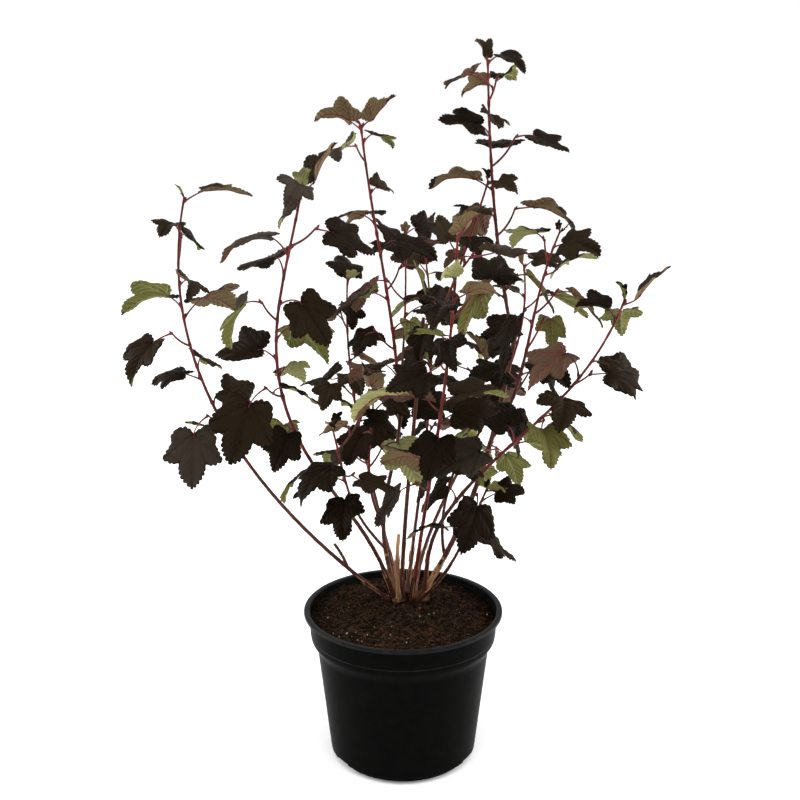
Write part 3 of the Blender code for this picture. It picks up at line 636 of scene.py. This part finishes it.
SOIL_LOOKS = (
    ("peat", (0.0055, 0.0032, 0.002), 0.95, 700, 1.0, (0.016, 0.0085, 0.0045), 0.03),
    ("crumb_dark", (0.005, 0.003, 0.002), 0.95, 900, 0.8, (0.014, 0.008, 0.005), 0.03),
    ("crumb_brown", (0.03, 0.0155, 0.008), 0.95, 900, 0.8, (0.018, 0.009, 0.0045), 0.03),
    ("crumb_red", (0.06, 0.02, 0.0095), 0.95, 900, 0.8, (0.034, 0.012, 0.007), 0.03),
    ("perlite", (0.34, 0.31, 0.26), 0.9, 900, 0.6, (0.2, 0.18, 0.14)),
    ("fibre", (0.085, 0.05, 0.028), 0.9, 900, 0.4, (0.045, 0.024, 0.013)),
)
FLOOR_LOOK = ("pale_floor", (0.975, 0.975, 0.975), 0.9, 4.0, 0.0)


def noise_into(nodes, links, scale, stretch):
    """A noise pattern in the object's own coordinates."""
    place = nodes.new("ShaderNodeTexCoord")
    mapping = nodes.new("ShaderNodeMapping")
    mapping.inputs["Scale"].default_value = stretch
    pattern = nodes.new("ShaderNodeTexNoise")
    pattern.inputs["Scale"].default_value = scale
    pattern.inputs["Detail"].default_value = NOISE_DETAIL
    links.new(place.outputs["Object"], mapping.inputs["Vector"])
    links.new(mapping.outputs["Vector"], pattern.inputs["Vector"])
    return pattern


def new_material(name, colour, roughness, grain, bump, other=None, spec=0.2, stretch=(1, 1, 1)):
    """A surface with fine relief, and a second colour in patches where one is given."""
    made = bpy.data.materials.new(name)
    made.use_nodes = True
    nodes, links = made.node_tree.nodes, made.node_tree.links
    shader = nodes["Principled BSDF"]
    shader.inputs["Base Color"].default_value = (*colour, 1)
    shader.inputs["Roughness"].default_value = roughness
    shader.inputs["Specular IOR Level"].default_value = spec
    relief = nodes.new("ShaderNodeBump")
    relief.inputs["Strength"].default_value = bump
    relief.inputs["Distance"].default_value = BUMP_DEPTH
    fine = noise_into(nodes, links, grain, stretch)
    links.new(fine.outputs["Fac"], relief.inputs["Height"])
    links.new(relief.outputs["Normal"], shader.inputs["Normal"])
    if other:
        ramp = nodes.new("ShaderNodeValToRGB")
        for stop, edge, tint in zip(ramp.color_ramp.elements, PATCH_EDGES, (colour, other)):
            stop.position, stop.color = edge, (*tint, 1)
        patches = noise_into(nodes, links, grain / PATCH_SIZE, stretch)
        links.new(patches.outputs["Fac"], ramp.inputs["Fac"])
        links.new(ramp.outputs["Color"], shader.inputs["Base Color"])
    return made


def materials_of(looks):
    return [new_material(*look) for look in looks]


# Pieces

ASIDE = (0.3, 1.0, 0.1)  # the first ring of a tube is turned square to this


def new_object(name, data):
    """An object in the scene that shows a mesh, a light or a camera."""
    made = bpy.data.objects.new(name, data)
    bpy.context.scene.collection.objects.link(made)
    return made


def new_piece(name, points, faces, materials, slots, replaces=()):
    """One visible piece: smooth shaded, riding on the one body."""
    mesh = bpy.data.meshes.new(name)
    mesh.from_pydata(np.asarray(points).tolist(), [], faces)
    for material in materials:
        mesh.materials.append(material)
    mesh.polygons.foreach_set("material_index", slots)
    mesh.polygons.foreach_set("use_smooth", [True] * len(faces))
    mesh.update()
    piece = new_object(name, mesh)
    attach(piece, "root")
    if replaces:
        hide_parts(*replaces)
    return piece


class Joined:
    """Gathers points and faces of many small things of one kind."""

    def __init__(self):
        self.points, self.faces, self.slots, self.count = [], [], [], 0

    def add(self, points, faces, slots):
        """Adds one thing. slots is a slot for each face, or one for them all."""
        self.points.append(np.asarray(points, float))
        self.faces += [[p + self.count for p in face] for face in faces]
        self.slots += [slots] * len(faces) if isinstance(slots, int) else slots
        self.count += len(points)

    def piece(self, name, materials, slot, replaces=()):
        points = np.concatenate(self.points)
        return new_piece(name, points, self.faces, materials, self.slots, replaces)


def ring_faces(rings, sides):
    """Faces that join rings of points, and close the two ends on the two points after them."""
    here = np.arange(rings * sides).reshape(rings, sides)
    beside = np.roll(here, -1, axis=1)
    walls = np.stack((here[:-1], beside[:-1], beside[1:], here[1:]), axis=2)
    faces, after = walls.reshape(-1, 4).tolist(), rings * sides
    for j, k in zip(here[0].tolist(), beside[0].tolist()):
        faces += [[after, k, j], [after + 1, after - sides + j, after - sides + k]]
    return faces


def frames_along(points):
    """Two sideways directions at each point of a line, turning as little as they can."""
    ways = units(np.gradient(points, axis=0))
    side = unit(np.cross(ways[0], ASIDE))
    sides = []
    for way in ways:
        side = unit(side - way * (side @ way))
        sides.append(side)
    sides = np.array(sides)
    return sides, np.cross(ways, sides)


def tube(points, radii, sides, relief=0.0):
    """A closed tube. relief is a share of the radius for each ring and side."""
    points = np.asarray(points, float)
    a, b = frames_along(points)
    angles = np.linspace(0, 2 * math.pi, sides, endpoint=False)
    radii = np.asarray(radii, float)[:, None] * (1 + relief)
    radii = np.broadcast_to(radii, (len(points), sides))[..., None]
    ring = a[:, None] * np.cos(angles)[:, None] + b[:, None] * np.sin(angles)[:, None]
    verts = (points[:, None] + ring * radii).reshape(-1, 3)
    verts = np.concatenate((verts, points[:1], points[-1:]))
    return verts, ring_faces(len(points), sides)


# Stems

STEM_SIDES = 10
RING_STEP = 0.0035
NODE_SAMPLES = 400
NODE_SWELL, NODE_WIDTH, SWELL_MOST = 0.28, 0.003, 0.8
FLARE_LENGTH = 0.007

# The bark's ridges wind slowly round a stem. Each rough wave has its radians for a metre
# along the stem, and how often it goes up and down round it.
RIDGE, RIDGES, RIDGE_WIND = 0.06, 3, 9
ROUGH, ROUGH_WAVES = 0.05, ((700, 2), (310, 5))

# A stem is brown up to a share of its length, and red above. TAN_UNTIL is how many metres of
# tan old wood a few stems have at their foot, and RED_STEM is red from RED_FROM metres on.
BROWN_UNTIL, TONE_BLUR = 0.42, 0.02
TAN_UNTIL = {"stub_upright": 0.2, "pruned_right": 0.045, "centre_left": 0.045}
RED_STEM, RED_FROM = "front", 0.03
TONE_RANGE = (0.8, 1.2)

# The foot's knobs: centre and half sizes.
KNOBS = (((-0.006, 0.035), (0.01, 0.009, 0.006)), ((0.021, 0.036), (0.011, 0.009, 0.01)))
KNOB_RINGS, KNOB_SIDES = 12, 24
KNOB_BASE, KNOB_LUMP, KNOB_MOST = 0.94, 0.3, 1.12
KNOB_GRAIN, KNOB_APART = 2.2, 99

PEEL_COUNT = 90
PEEL_FOOT, PEEL_LENGTH = (0.002, 0.05), (0.012, 0.036)
PEEL_LIFT, PEEL_CLEAR = (0.0003, 0.0022), 1.05
PEEL_RADII, PEEL_STEPS, PEEL_SIDES = (0.0008, 0.0002), 6, 4


def leaf_nodes(shoot, leaves):
    """Where along a stem its leaves stand, as distances from its foot."""
    line = along(shoot, np.linspace(0, 1, NODE_SAMPLES))
    steps = np.concatenate(([0], np.cumsum(steps_of(line))))
    roots = [(leaf.twig or leaf.stalk)[0] for leaf in leaves]
    return [steps[np.linalg.norm(line - root, axis=1).argmin()] for root in roots]


def bark_tones(draw, shoot, shares, rises):
    """The bark of each stretch of a stem."""
    tones = []
    for share, rise in zip(shares, rises):
        low = share + draw.uniform(-TONE_BLUR, TONE_BLUR) < BROWN_UNTIL
        tone = BROWN if low or not shoot.sprays else YOUNG
        if shoot.name in TAN_UNTIL and rise < TAN_UNTIL[shoot.name] * draw.uniform(*TONE_RANGE):
            tone = OLD
        if shoot.name == RED_STEM and rise > RED_FROM * draw.uniform(*TONE_RANGE):
            tone = YOUNG
        tones.append(tone)
    return tones


def add_stem(wood, shoot, leaves):
    """A stem with its nodes, ridges and, on the soil, a flared foot."""
    draw = random.Random(f"bark {shoot.name}")
    length = length_of(shoot)
    count = int(length / RING_STEP) + 2
    shares = np.linspace(0, 1, count)
    rises = shares * length
    radii = shoot.radii[0] + (shoot.radii[1] - shoot.radii[0]) * shares
    swell = np.zeros(count)
    for node in leaf_nodes(shoot, leaves):
        swell += NODE_SWELL * np.exp(-((rises - node) / NODE_WIDTH)**2)
    if from_soil(shoot):
        swell += STOOL_FLARE * np.exp(-rises / FLARE_LENGTH)
    around = np.linspace(0, 2 * math.pi, STEM_SIDES, endpoint=False)
    # The fourth draw is unused, and the later ones follow it.
    turn, *phases, _ = [draw.uniform(0, FULL_TURN) for _ in range(4)]
    relief = RIDGE * np.cos(RIDGES * around + turn + RIDGE_WIND * rises[:, None])
    for (rate, waves), phase in zip(ROUGH_WAVES, phases):
        relief = relief + ROUGH * np.sin(rate * rises[:, None] + waves * around + phase)
    radii = radii * (1 + np.minimum(swell, SWELL_MOST))
    points, faces = tube(along(shoot, shares), radii, STEM_SIDES, relief)
    tones = bark_tones(draw, shoot, shares[:-1], rises)
    ends = [tones[0], tones[-1] if shoot.sprays else CUT]
    wood.add(points, faces, [t for t in tones for _ in range(STEM_SIDES)] + ends * STEM_SIDES)


def add_knob(wood, centre, size):
    """A lump of the woody foot, half sunk in the soil."""
    foot, size = np.array((*centre, SOIL_TOP)), np.array(size)
    verts = []
    for i in range(KNOB_RINGS):
        angle = math.pi / 2 * i / KNOB_RINGS
        for j in range(KNOB_SIDES):
            way = level(2 * math.pi * j / KNOB_SIDES) * math.cos(angle) + (0, 0, math.sin(angle))
            rough = noise.fractal(Vector((way + size * KNOB_APART) * KNOB_GRAIN), 1.0, 2.0, 3)
            verts.append(foot + size * way * min(KNOB_BASE + KNOB_LUMP * rough, KNOB_MOST))
    verts += [foot, foot + (0, 0, size[2])]
    wood.add(verts, ring_faces(KNOB_RINGS, KNOB_SIDES), STOOL)


def build_stems(masses, bark):
    """Every stem from the soil to its tip, and the woody foot between them."""
    wood = Joined()
    for shoot in SHOOTS:
        add_stem(wood, shoot, masses.get(shoot.name, []))
    for centre, size in KNOBS:
        add_knob(wood, centre, size)
    plain = [s.name + "_bough" for s in SHOOTS if s.sprays and from_soil(s)]
    plain += [s.name for s in SHOOTS if not s.sprays] + ["stool"]
    wood.piece("stems", bark, "bark", plain)


def build_peel(bark):
    """Loose strips of bark on the old wood at the foot."""
    strips, draw = Joined(), random.Random("peel")
    rooted = [shoot for shoot in SHOOTS if from_soil(shoot)]
    grow_out = np.linspace(0, 1, PEEL_STEPS)**2
    for _ in range(PEEL_COUNT):
        shoot = draw.choice(rooted)
        length = length_of(shoot)
        low = draw.uniform(*PEEL_FOOT) / length
        high = low + draw.uniform(*PEEL_LENGTH) / length
        run = along(shoot, np.linspace(low, high, PEEL_STEPS))
        out = level(draw.uniform(0, FULL_TURN))
        lift = shoot.radii[0] * PEEL_CLEAR + grow_out * draw.uniform(*PEEL_LIFT)
        radii = np.linspace(*PEEL_RADII, PEEL_STEPS)
        strips.add(*tube(run + out * lift[:, None], radii, PEEL_SIDES), 0)
    strips.piece("peeling_bark", [bark], "old_wood")


# Twigs, stalks and buds

CHAIN_STEPS = 12
TWIG_SIDES, STALK_SIDES = 8, 7
CRIMSON_ABOVE = 0.47  # metres above the ground
RED_BELOW, RED_ABOVE = 0.35, 0.9  # the odds of a crimson stalk
STALK_UNDER = (0.03, 0.07)  # a stalk runs on to these shares of its blade
STALK_SINK = 0.0006
STALK_SWELL, SWELL_STEPS = 0.7, 1.3
BUD_SIZE, BUD_RANGE = 0.0029, (0.7, 1.3)
BUD_OUT, BUD_RISE = 0.0012, 1.4
BUD_LENGTH, BUD_WIDTH = 1.8, 0.45
BUD_START, BUD_SPAN = 0.5, 2.4  # the stretch of a sine that gives its outline
BUD_STEPS, BUD_SIDES = 6, 6


def smooth_chain(chain):
    """A bent stalk or twig as a smooth line through its three points."""
    first, elbow, last = chain
    return bent(first, 2 * elbow - (first + last) / 2, last, CHAIN_STEPS)


def stalk_of(leaf):
    """A leaf's stalk, thicker where it leaves the stem and running in below the blade."""
    under = blade_at(leaf, np.array(STALK_UNDER), np.zeros(2)) - leaf.up * STALK_SINK
    line = np.concatenate((smooth_chain(leaf.stalk), under))
    swell = 1 + STALK_SWELL * np.exp(-(np.arange(len(line)) / SWELL_STEPS)**2)
    return tube(line, np.linspace(*STALK_RADII, len(line)) * swell, STALK_SIDES)


def bud_of(leaf, size):
    """The bud in the angle between a stem and a leaf's stalk."""
    way = unit(leaf.stalk[1] - leaf.stalk[0])
    lean = unit(way + (0, 0, BUD_RISE))
    t = np.linspace(0, 1, BUD_STEPS)
    line = leaf.stalk[0] + way * BUD_OUT + lean * (t * size * BUD_LENGTH)[:, None]
    return tube(line, size * BUD_WIDTH * np.sin(BUD_START + BUD_SPAN * t), BUD_SIDES)


def build_twigs_and_stalks(masses, barks, stalk_skin):
    """The side twigs, each leaf's stalk and each leaf's bud."""
    twigs, stalks, buds = Joined(), Joined(), Joined()
    for name, leaves in masses.items():
        draw = random.Random(f"buds {name}")
        for twig in {id(leaf.twig): leaf.twig for leaf in leaves if leaf.twig}.values():
            radii = np.linspace(*TWIG_RADII, CHAIN_STEPS)
            look = 1 if twig[0][2] < CRIMSON_ABOVE else 0
            twigs.add(*tube(smooth_chain(twig), radii, TWIG_SIDES), look)
        for leaf in leaves:
            red = RED_ABOVE if leaf.stalk[0][2] > CRIMSON_ABOVE else RED_BELOW
            stalks.add(*stalk_of(leaf), 0 if draw.random() < red else 1)
            buds.add(*bud_of(leaf, BUD_SIZE * draw.uniform(*BUD_RANGE)), 0)
    twigs.piece("twigs", barks, "bark")
    stalks.piece("leaf_stalks", stalk_skin, "foliage")
    buds.piece("buds", barks[:1], "bark")


# Blades

BLADE_SHARE = 0.92  # a blade against the solid that stands for it
TUFT_SIZES = (0.36, 0.26)
TUFT_RISE, TUFT_FOLD = 1.2, 1.6
TUFT_CLEAR = 0.0015


def add_tufts(masses):
    """The small unfolding leaves at the tip of each leafy stem."""
    u, v = inside_outline()
    taken = [blade_at(leaf, u, v) for leaves in masses.values() for leaf in leaves]
    for name, leaves in masses.items():
        shoot = STEM[name]
        draw = random.Random(f"tuft {name}").uniform
        tip, axis, phase = along(shoot, 1.0), heading_of(shoot, 1.0), draw(0, 360)
        for i, size in enumerate(TUFT_SIZES):
            leaf = make_leaf(draw, shoot, tip, axis, phase + TURN * i, size, 1.0, None)
            leaf = raised(leaf, axis, TUFT_RISE, leaf.fold * TUFT_FOLD)
            blade = blade_at(leaf, u, v)
            if far_enough(blade, taken, TUFT_CLEAR):
                leaves.append(leaf)
                taken.append(blade)


def deal(draw, odds):
    return draw.choices(range(len(odds)), odds)[0]


def build_leaves(masses, looks):
    """Every blade, tinted by place, in pieces of a fair size."""
    grid, faces, kinds = blade_template()
    margin = np.zeros(len(grid), bool)
    margin[margin_of(faces)] = True
    inner = np.flatnonzero(~margin)
    lower = np.arange(len(grid))
    lower[inner] = len(grid) + np.arange(len(inner))
    below = [[int(lower[p]) for p in face[::-1]] for face in faces]
    every = [(name, i, len(leaves), leaf) for name, leaves in masses.items()
             for i, leaf in enumerate(leaves)]
    names = [name + "_leaves" for name in masses]
    for start in range(0, len(every), LEAVES_A_PIECE):
        blades = Joined()
        for name, i, count, leaf in every[start:start + LEAVES_A_PIECE]:
            draw = random.Random(f"look {name} {i}")
            wave = (draw.uniform(0, FULL_TURN), draw.uniform(*WAVE_RANGE))
            top, low = blade_surfaces(leaf, grid, margin, wave)
            age = "young" if i >= count - YOUNG_LEAVES else "right" if "right" in name else "old"
            upper = deal(draw, TOP_ODDS[age])
            tint = deal(draw, UNDER_ODDS[age])
            crimson = tint in RED_RIBBED or draw.random() < RED_RIB_ODDS
            rib = len(TOPS) + len(UNDERS)
            below_slots = {"skin": len(TOPS) + tint, "rib": rib + (1 if crimson else 0),
                           "vein": rib + len(RIB_TINTS) + VEIN_OF[tint]}
            slots = [upper] * len(faces) + [below_slots[kind] for kind in kinds]
            blades.add(np.concatenate((top, low[inner])), faces + below, slots)
        number = start // LEAVES_A_PIECE + 1
        blades.piece(f"leaves_{number}", looks, "foliage", names if number == 1 else ())


# Pot and soil

LATHE_STEPS = 144
MOULD_LINE, MOULD_RIDGE = 0.1548, 0.0003
WALL_ROUND, CORNER_STEPS = 0.005, 7
MOST_ROUND = 0.4  # how much of a straight stretch a rounded corner may take up
SHARP_ANGLE = 40


def lathe(profile, steps):
    """Turns a profile that starts and ends on the upright axis into a closed solid."""
    ring = np.linspace(0, 2 * math.pi, steps, endpoint=False)
    verts = [(r * math.cos(a), r * math.sin(a), z) for r, z in profile[1:-1] for a in ring]
    verts += [(0, 0, profile[0][1]), (0, 0, profile[-1][1])]
    return verts, [face[::-1] for face in ring_faces(len(profile) - 2, steps)]


def rounded(profile):
    """Rounds a profile's corners."""
    out = [profile[0]]
    for before, here, after in zip(profile, profile[1:], profile[2:]):
        p, q, r = map(np.array, (before, here, after))
        a, b = np.linalg.norm(p - q), np.linalg.norm(r - q)
        reach = min(WALL_ROUND, a * MOST_ROUND, b * MOST_ROUND)
        start, stop = q + (p - q) / a * reach, q + (r - q) / b * reach
        out += bent(start, q, stop, CORNER_STEPS).tolist()
    return [*out, profile[-1]]


def mould_line(top, foot):
    """A fine ridge round the collar, where the halves of the mould met."""
    share = (top[1] - MOULD_LINE) / (top[1] - foot[1])
    r = top[0] + (foot[0] - top[0]) * share
    return [(r + (MOULD_RIDGE if i == 1 else 0), MOULD_LINE + (1 - i) * MOULD_RIDGE)
            for i in range(3)]


def cut_notch(pot, angle):
    """Cuts one drainage notch out of the pot's lower corner."""
    shape = bmesh.new()
    bmesh.ops.create_cube(shape, size=1)
    mesh = bpy.data.meshes.new("notch")
    shape.to_mesh(mesh)
    shape.free()
    cutter = new_object("notch", mesh)
    cutter.location = level(angle) * (FOOT_RADIUS - NOTCH_BITE + NOTCH_DEPTH / 2)
    cutter.rotation_euler = (0, 0, angle)
    cutter.scale = (NOTCH_DEPTH, NOTCH_WIDTH, 2 * NOTCH_HEIGHT)
    trim = pot.modifiers.new("cut", "BOOLEAN")
    trim.operation, trim.object = "DIFFERENCE", cutter
    bpy.context.view_layer.update()
    done = bpy.data.meshes.new_from_object(
        pot.evaluated_get(bpy.context.evaluated_depsgraph_get()))
    pot.modifiers.clear()
    pot.data = done
    bpy.data.objects.remove(cutter, do_unlink=True)


def build_pot(plastic):
    """The pot: its inside, its lip and the mould's line in a lighter scuffed plastic that paints
    their highlights, and plain elsewhere.
    """
    foot = [(FOOT_RADIUS, FOOT_BEVEL), (FOOT_RADIUS - FOOT_BEVEL, 0), (0, 0)]
    wall = pot_wall()
    wall[1:1] = mould_line(wall[0], wall[1])
    upper = [*pot_inside(0), *pot_lip()]
    profile = [(0, FLOOR), *upper, *rounded(wall), *foot]
    verts, faces = lathe(profile, LATHE_STEPS)
    ridge = range(len(upper) + 1, len(upper) + 3 * CORNER_STEPS)
    rows = [i // LATHE_STEPS for i in range(len(faces))]
    # Slot 1, the lighter scuffed plastic, paints highlights on the inside, the lip and the mould
    # line's ridge.
    slots = [1 if row < len(upper) - 1 or row in ridge else 0 for row in rows]
    pot = new_piece("nursery_pot", verts, faces, plastic, slots, ["pot"])
    for i in range(NOTCHES):
        cut_notch(pot, math.radians(NOTCH_TURN + 360 * i / NOTCHES))
    pot.data.set_sharp_from_angle(angle=math.radians(SHARP_ANGLE))


SOIL_RINGS, SOIL_STEPS = 80, 240
LUMP, FINE_LUMPS, COARSE_LUMPS = 0.0018, 160, 45
MOUND, MOUND_WAY = 0.0038, (-0.55, 0.84)  # the peat is heaped toward one side of the wall
MOUND_FROM = 0.5  # as a share of the flat crown's radius

# The bits on the peat: a piece's name, their number, and the least and greatest size.
CRUMBS = ("peat_crumbs", 3400, (0.0007, 0.003))
PERLITE = ("perlite", 110, (0.0004, 0.0017))
BIT_INSET, BIT_LIFT = 0.003, 0.25
BIT_RANGE, BIT_FLAT = (0.6, 1.4), (1, 1, 0.7)
BIT_LUMPS = (0.75, 1.2)
CRUMB_ODDS = (5, 4)  # dark and brown
RED_LEAST, RED_MOST, RED_PATCHES = 0.3, 9, 32  # red crumbs lie in patches, few between them

FIBRES = 1300
FIBRE_RADIUS, FIBRE_STEPS, FIBRE_SIDES = 0.00016, 5, 4
FIBRE_LENGTH, FIBRE_BEND = (0.004, 0.015), (-0.8, 0.8)
FIBRE_LIFT, FIBRE_WAVE = 0.0004, 0.0006
FIBRE_INSET = 0.01


def peat_reach(z):
    """How far out the peat goes at a height near its top."""
    (inner, below), (outer, above) = pot_inside(GAP)[-2:]
    return inner + (outer - inner) * (z - below) / (above - below)


def soil_height(x, y):
    """The peat's surface, lumpy and lower at the wall."""
    r = math.hypot(x, y)
    edge = pot_inside(GAP)[-1][0]
    out = max(0.0, (r - SOIL_FLAT * MOUND_FROM) / (edge - SOIL_FLAT * MOUND_FROM))
    fall = SOIL_FALL * max(0.0, (r - SOIL_FLAT) / (edge - SOIL_FLAT))
    heap = MOUND * out * ((x * MOUND_WAY[0] + y * MOUND_WAY[1]) / max(r, 1e-6))
    place = Vector((x, y, 0))
    rough = (noise.fractal(place * FINE_LUMPS, 1.0, 2.0, 4) * LUMP
             + noise.noise(place * COARSE_LUMPS) * LUMP)
    return SOIL_TOP - LUMP - fall + heap + min(rough, LUMP)


def build_peat(peat):
    """The body of the soil, its top following the surface inside the wall."""
    low = SOIL_TOP - SOIL_FALL
    side = [p for p in pot_inside(GAP)[::-1] if p[1] < low]
    radii = peat_reach(low) * np.linspace(0, 1, SOIL_RINGS)[1:]
    profile = [(0, SOIL_TOP), *[(r, 0) for r in radii], *side, (0, FLOOR + GAP)]
    verts, faces = lathe(profile, SOIL_STEPS)
    verts = np.array(verts)
    for i in range(len(radii) * SOIL_STEPS):
        x, y, _ = verts[i]
        z = soil_height(x, y)
        tuck = min(1, peat_reach(z) / math.hypot(x, y))
        verts[i] = x * tuck, y * tuck, z
    verts[-2, 2] = soil_height(0, 0)
    new_piece("peat_fill", verts, faces, [peat], [0] * len(faces), ["soil"])


def place_on_soil(draw, inset):
    """A point on the peat, as often near the wall as in the middle."""
    reach = peat_reach(SOIL_TOP - SOIL_FALL) - inset
    r, a = reach * math.sqrt(draw.random()), draw.uniform(0, FULL_TURN)
    return r * math.cos(a), r * math.sin(a)


def scatter(draw, kind, looks):
    """Lumpy bits on the peat. A third look lies in patches."""
    name, count, (least, most) = kind
    ball = bmesh.new()
    bmesh.ops.create_icosphere(ball, subdivisions=1, radius=1)
    corners = np.array([v.co for v in ball.verts])
    faces = [[v.index for v in f.verts] for f in ball.faces]
    ball.free()
    bits = Joined()
    for _ in range(count):
        x, y = place_on_soil(draw, BIT_INSET)
        size = least + (most - least) * draw.random()**3
        size = size * np.array([draw.uniform(*BIT_RANGE) for _ in range(3)]) * BIT_FLAT
        red = max(RED_LEAST, RED_MOST * noise.noise(Vector((x, y, 0)) * RED_PATCHES))
        look = deal(draw, (*CRUMB_ODDS, red)[:len(looks)])
        lump = np.array([draw.uniform(*BIT_LUMPS) for _ in corners])[:, None]
        spot = np.array((x, y, soil_height(x, y) + size[2] * BIT_LIFT))
        bits.add(corners * lump * size + spot, faces, look)
    bits.piece(name, looks, "soil")


def build_fibres(draw, fibre):
    """Short bent fibres that lie on the peat."""
    hairs = Joined()
    for _ in range(FIBRES):
        x, y = place_on_soil(draw, FIBRE_INSET)
        turn = draw.uniform(0, FULL_TURN)
        step = draw.uniform(*FIBRE_LENGTH) / (FIBRE_STEPS - 1)
        bend = draw.uniform(*FIBRE_BEND)
        line = []
        for i in range(FIBRE_STEPS):
            x, y = x + step * math.cos(turn), y + step * math.sin(turn)
            turn += bend / 2
            line.append((x, y, soil_height(x, y) + FIBRE_LIFT + FIBRE_WAVE * math.sin(i)))
        hairs.add(*tube(line, [FIBRE_RADIUS] * FIBRE_STEPS, FIBRE_SIDES), 0)
    hairs.piece("fibres", [fibre], "soil")


# Stage

CAMERA_PLACE = (-0.0036, -1.5507, 0.893)
CAMERA_PITCH = 16.522
LENS = 65.49
FLOOR_REACH = 40.0
WORLD_STRENGTH = 1.03
LIGHT_TARGET = (0, 0, 0.4)
# Each lamp: name, place, size and watts.
LIGHTS = (("left", (-2.2, 0.3, 1.2), 1.4, 40), ("right", (2.2, 0.2, 1.1), 1.4, 46),
          ("top", (0.0, -0.5, 2.4), 1.5, 30))


def add_light(name, place, size, watts):
    """A square soft light that faces the plant."""
    light = bpy.data.lights.new(name, "AREA")
    light.shape, light.size, light.energy = "SQUARE", size, watts
    lamp = new_object(name, light)
    lamp.location = place
    way = Vector(LIGHT_TARGET) - Vector(place)
    lamp.rotation_euler = way.to_track_quat("-Z", "Y").to_euler()


def build_stage():
    """The pale floor, the even light from all round, three lamps and the camera."""
    mesh = bpy.data.meshes.new("floor")
    corners = [(x * FLOOR_REACH, y * FLOOR_REACH, 0)
               for x, y in ((-1, -1), (1, -1), (1, 1), (-1, 1))]
    mesh.from_pydata(corners, [], [(0, 1, 2, 3)])
    floor = new_object("floor", mesh)
    mesh.materials.append(new_material(*FLOOR_LOOK))
    world = bpy.data.worlds.new("studio")
    world.use_nodes = True
    sky = world.node_tree.nodes["Background"].inputs
    sky["Color"].default_value, sky["Strength"].default_value = (1, 1, 1, 1), WORLD_STRENGTH
    bpy.context.scene.world = world
    bpy.context.scene.view_settings.view_transform = "Standard"
    for light in LIGHTS:
        add_light(*light)
    camera = new_object("camera", bpy.data.cameras.new("camera"))
    camera.data.lens = LENS
    camera.location = CAMERA_PLACE
    camera.rotation_euler = (math.radians(90 - CAMERA_PITCH), 0, 0)
    bpy.context.scene.camera = camera


def main():
    build_stage()
    masses = {name: [leaf._replace(length=leaf.length * BLADE_SHARE) for leaf in leaves]
              for name, leaves in grow().items()}
    bark = materials_of(BARK_LOOKS)
    build_stems(masses, bark)
    add_tufts(masses)
    build_peel(bark[OLD])
    build_twigs_and_stalks(masses, [bark[YOUNG], bark[BROWN]], materials_of(STALK_LOOKS))
    build_leaves(masses, [new_material(f"leaf_{kind}_{i + 1}", colour, *finish)
                          for kind, colours, finish in LEAF_LOOKS
                          for i, colour in enumerate(colours)])
    build_pot(materials_of(POT_LOOKS))
    peat, *crumbs, perlite, fibre = materials_of(SOIL_LOOKS)
    build_peat(peat)
    draw = random.Random("crumbs")
    scatter(draw, CRUMBS, crumbs)
    scatter(draw, PERLITE, [perlite])
    build_fibres(draw, fibre)


main()
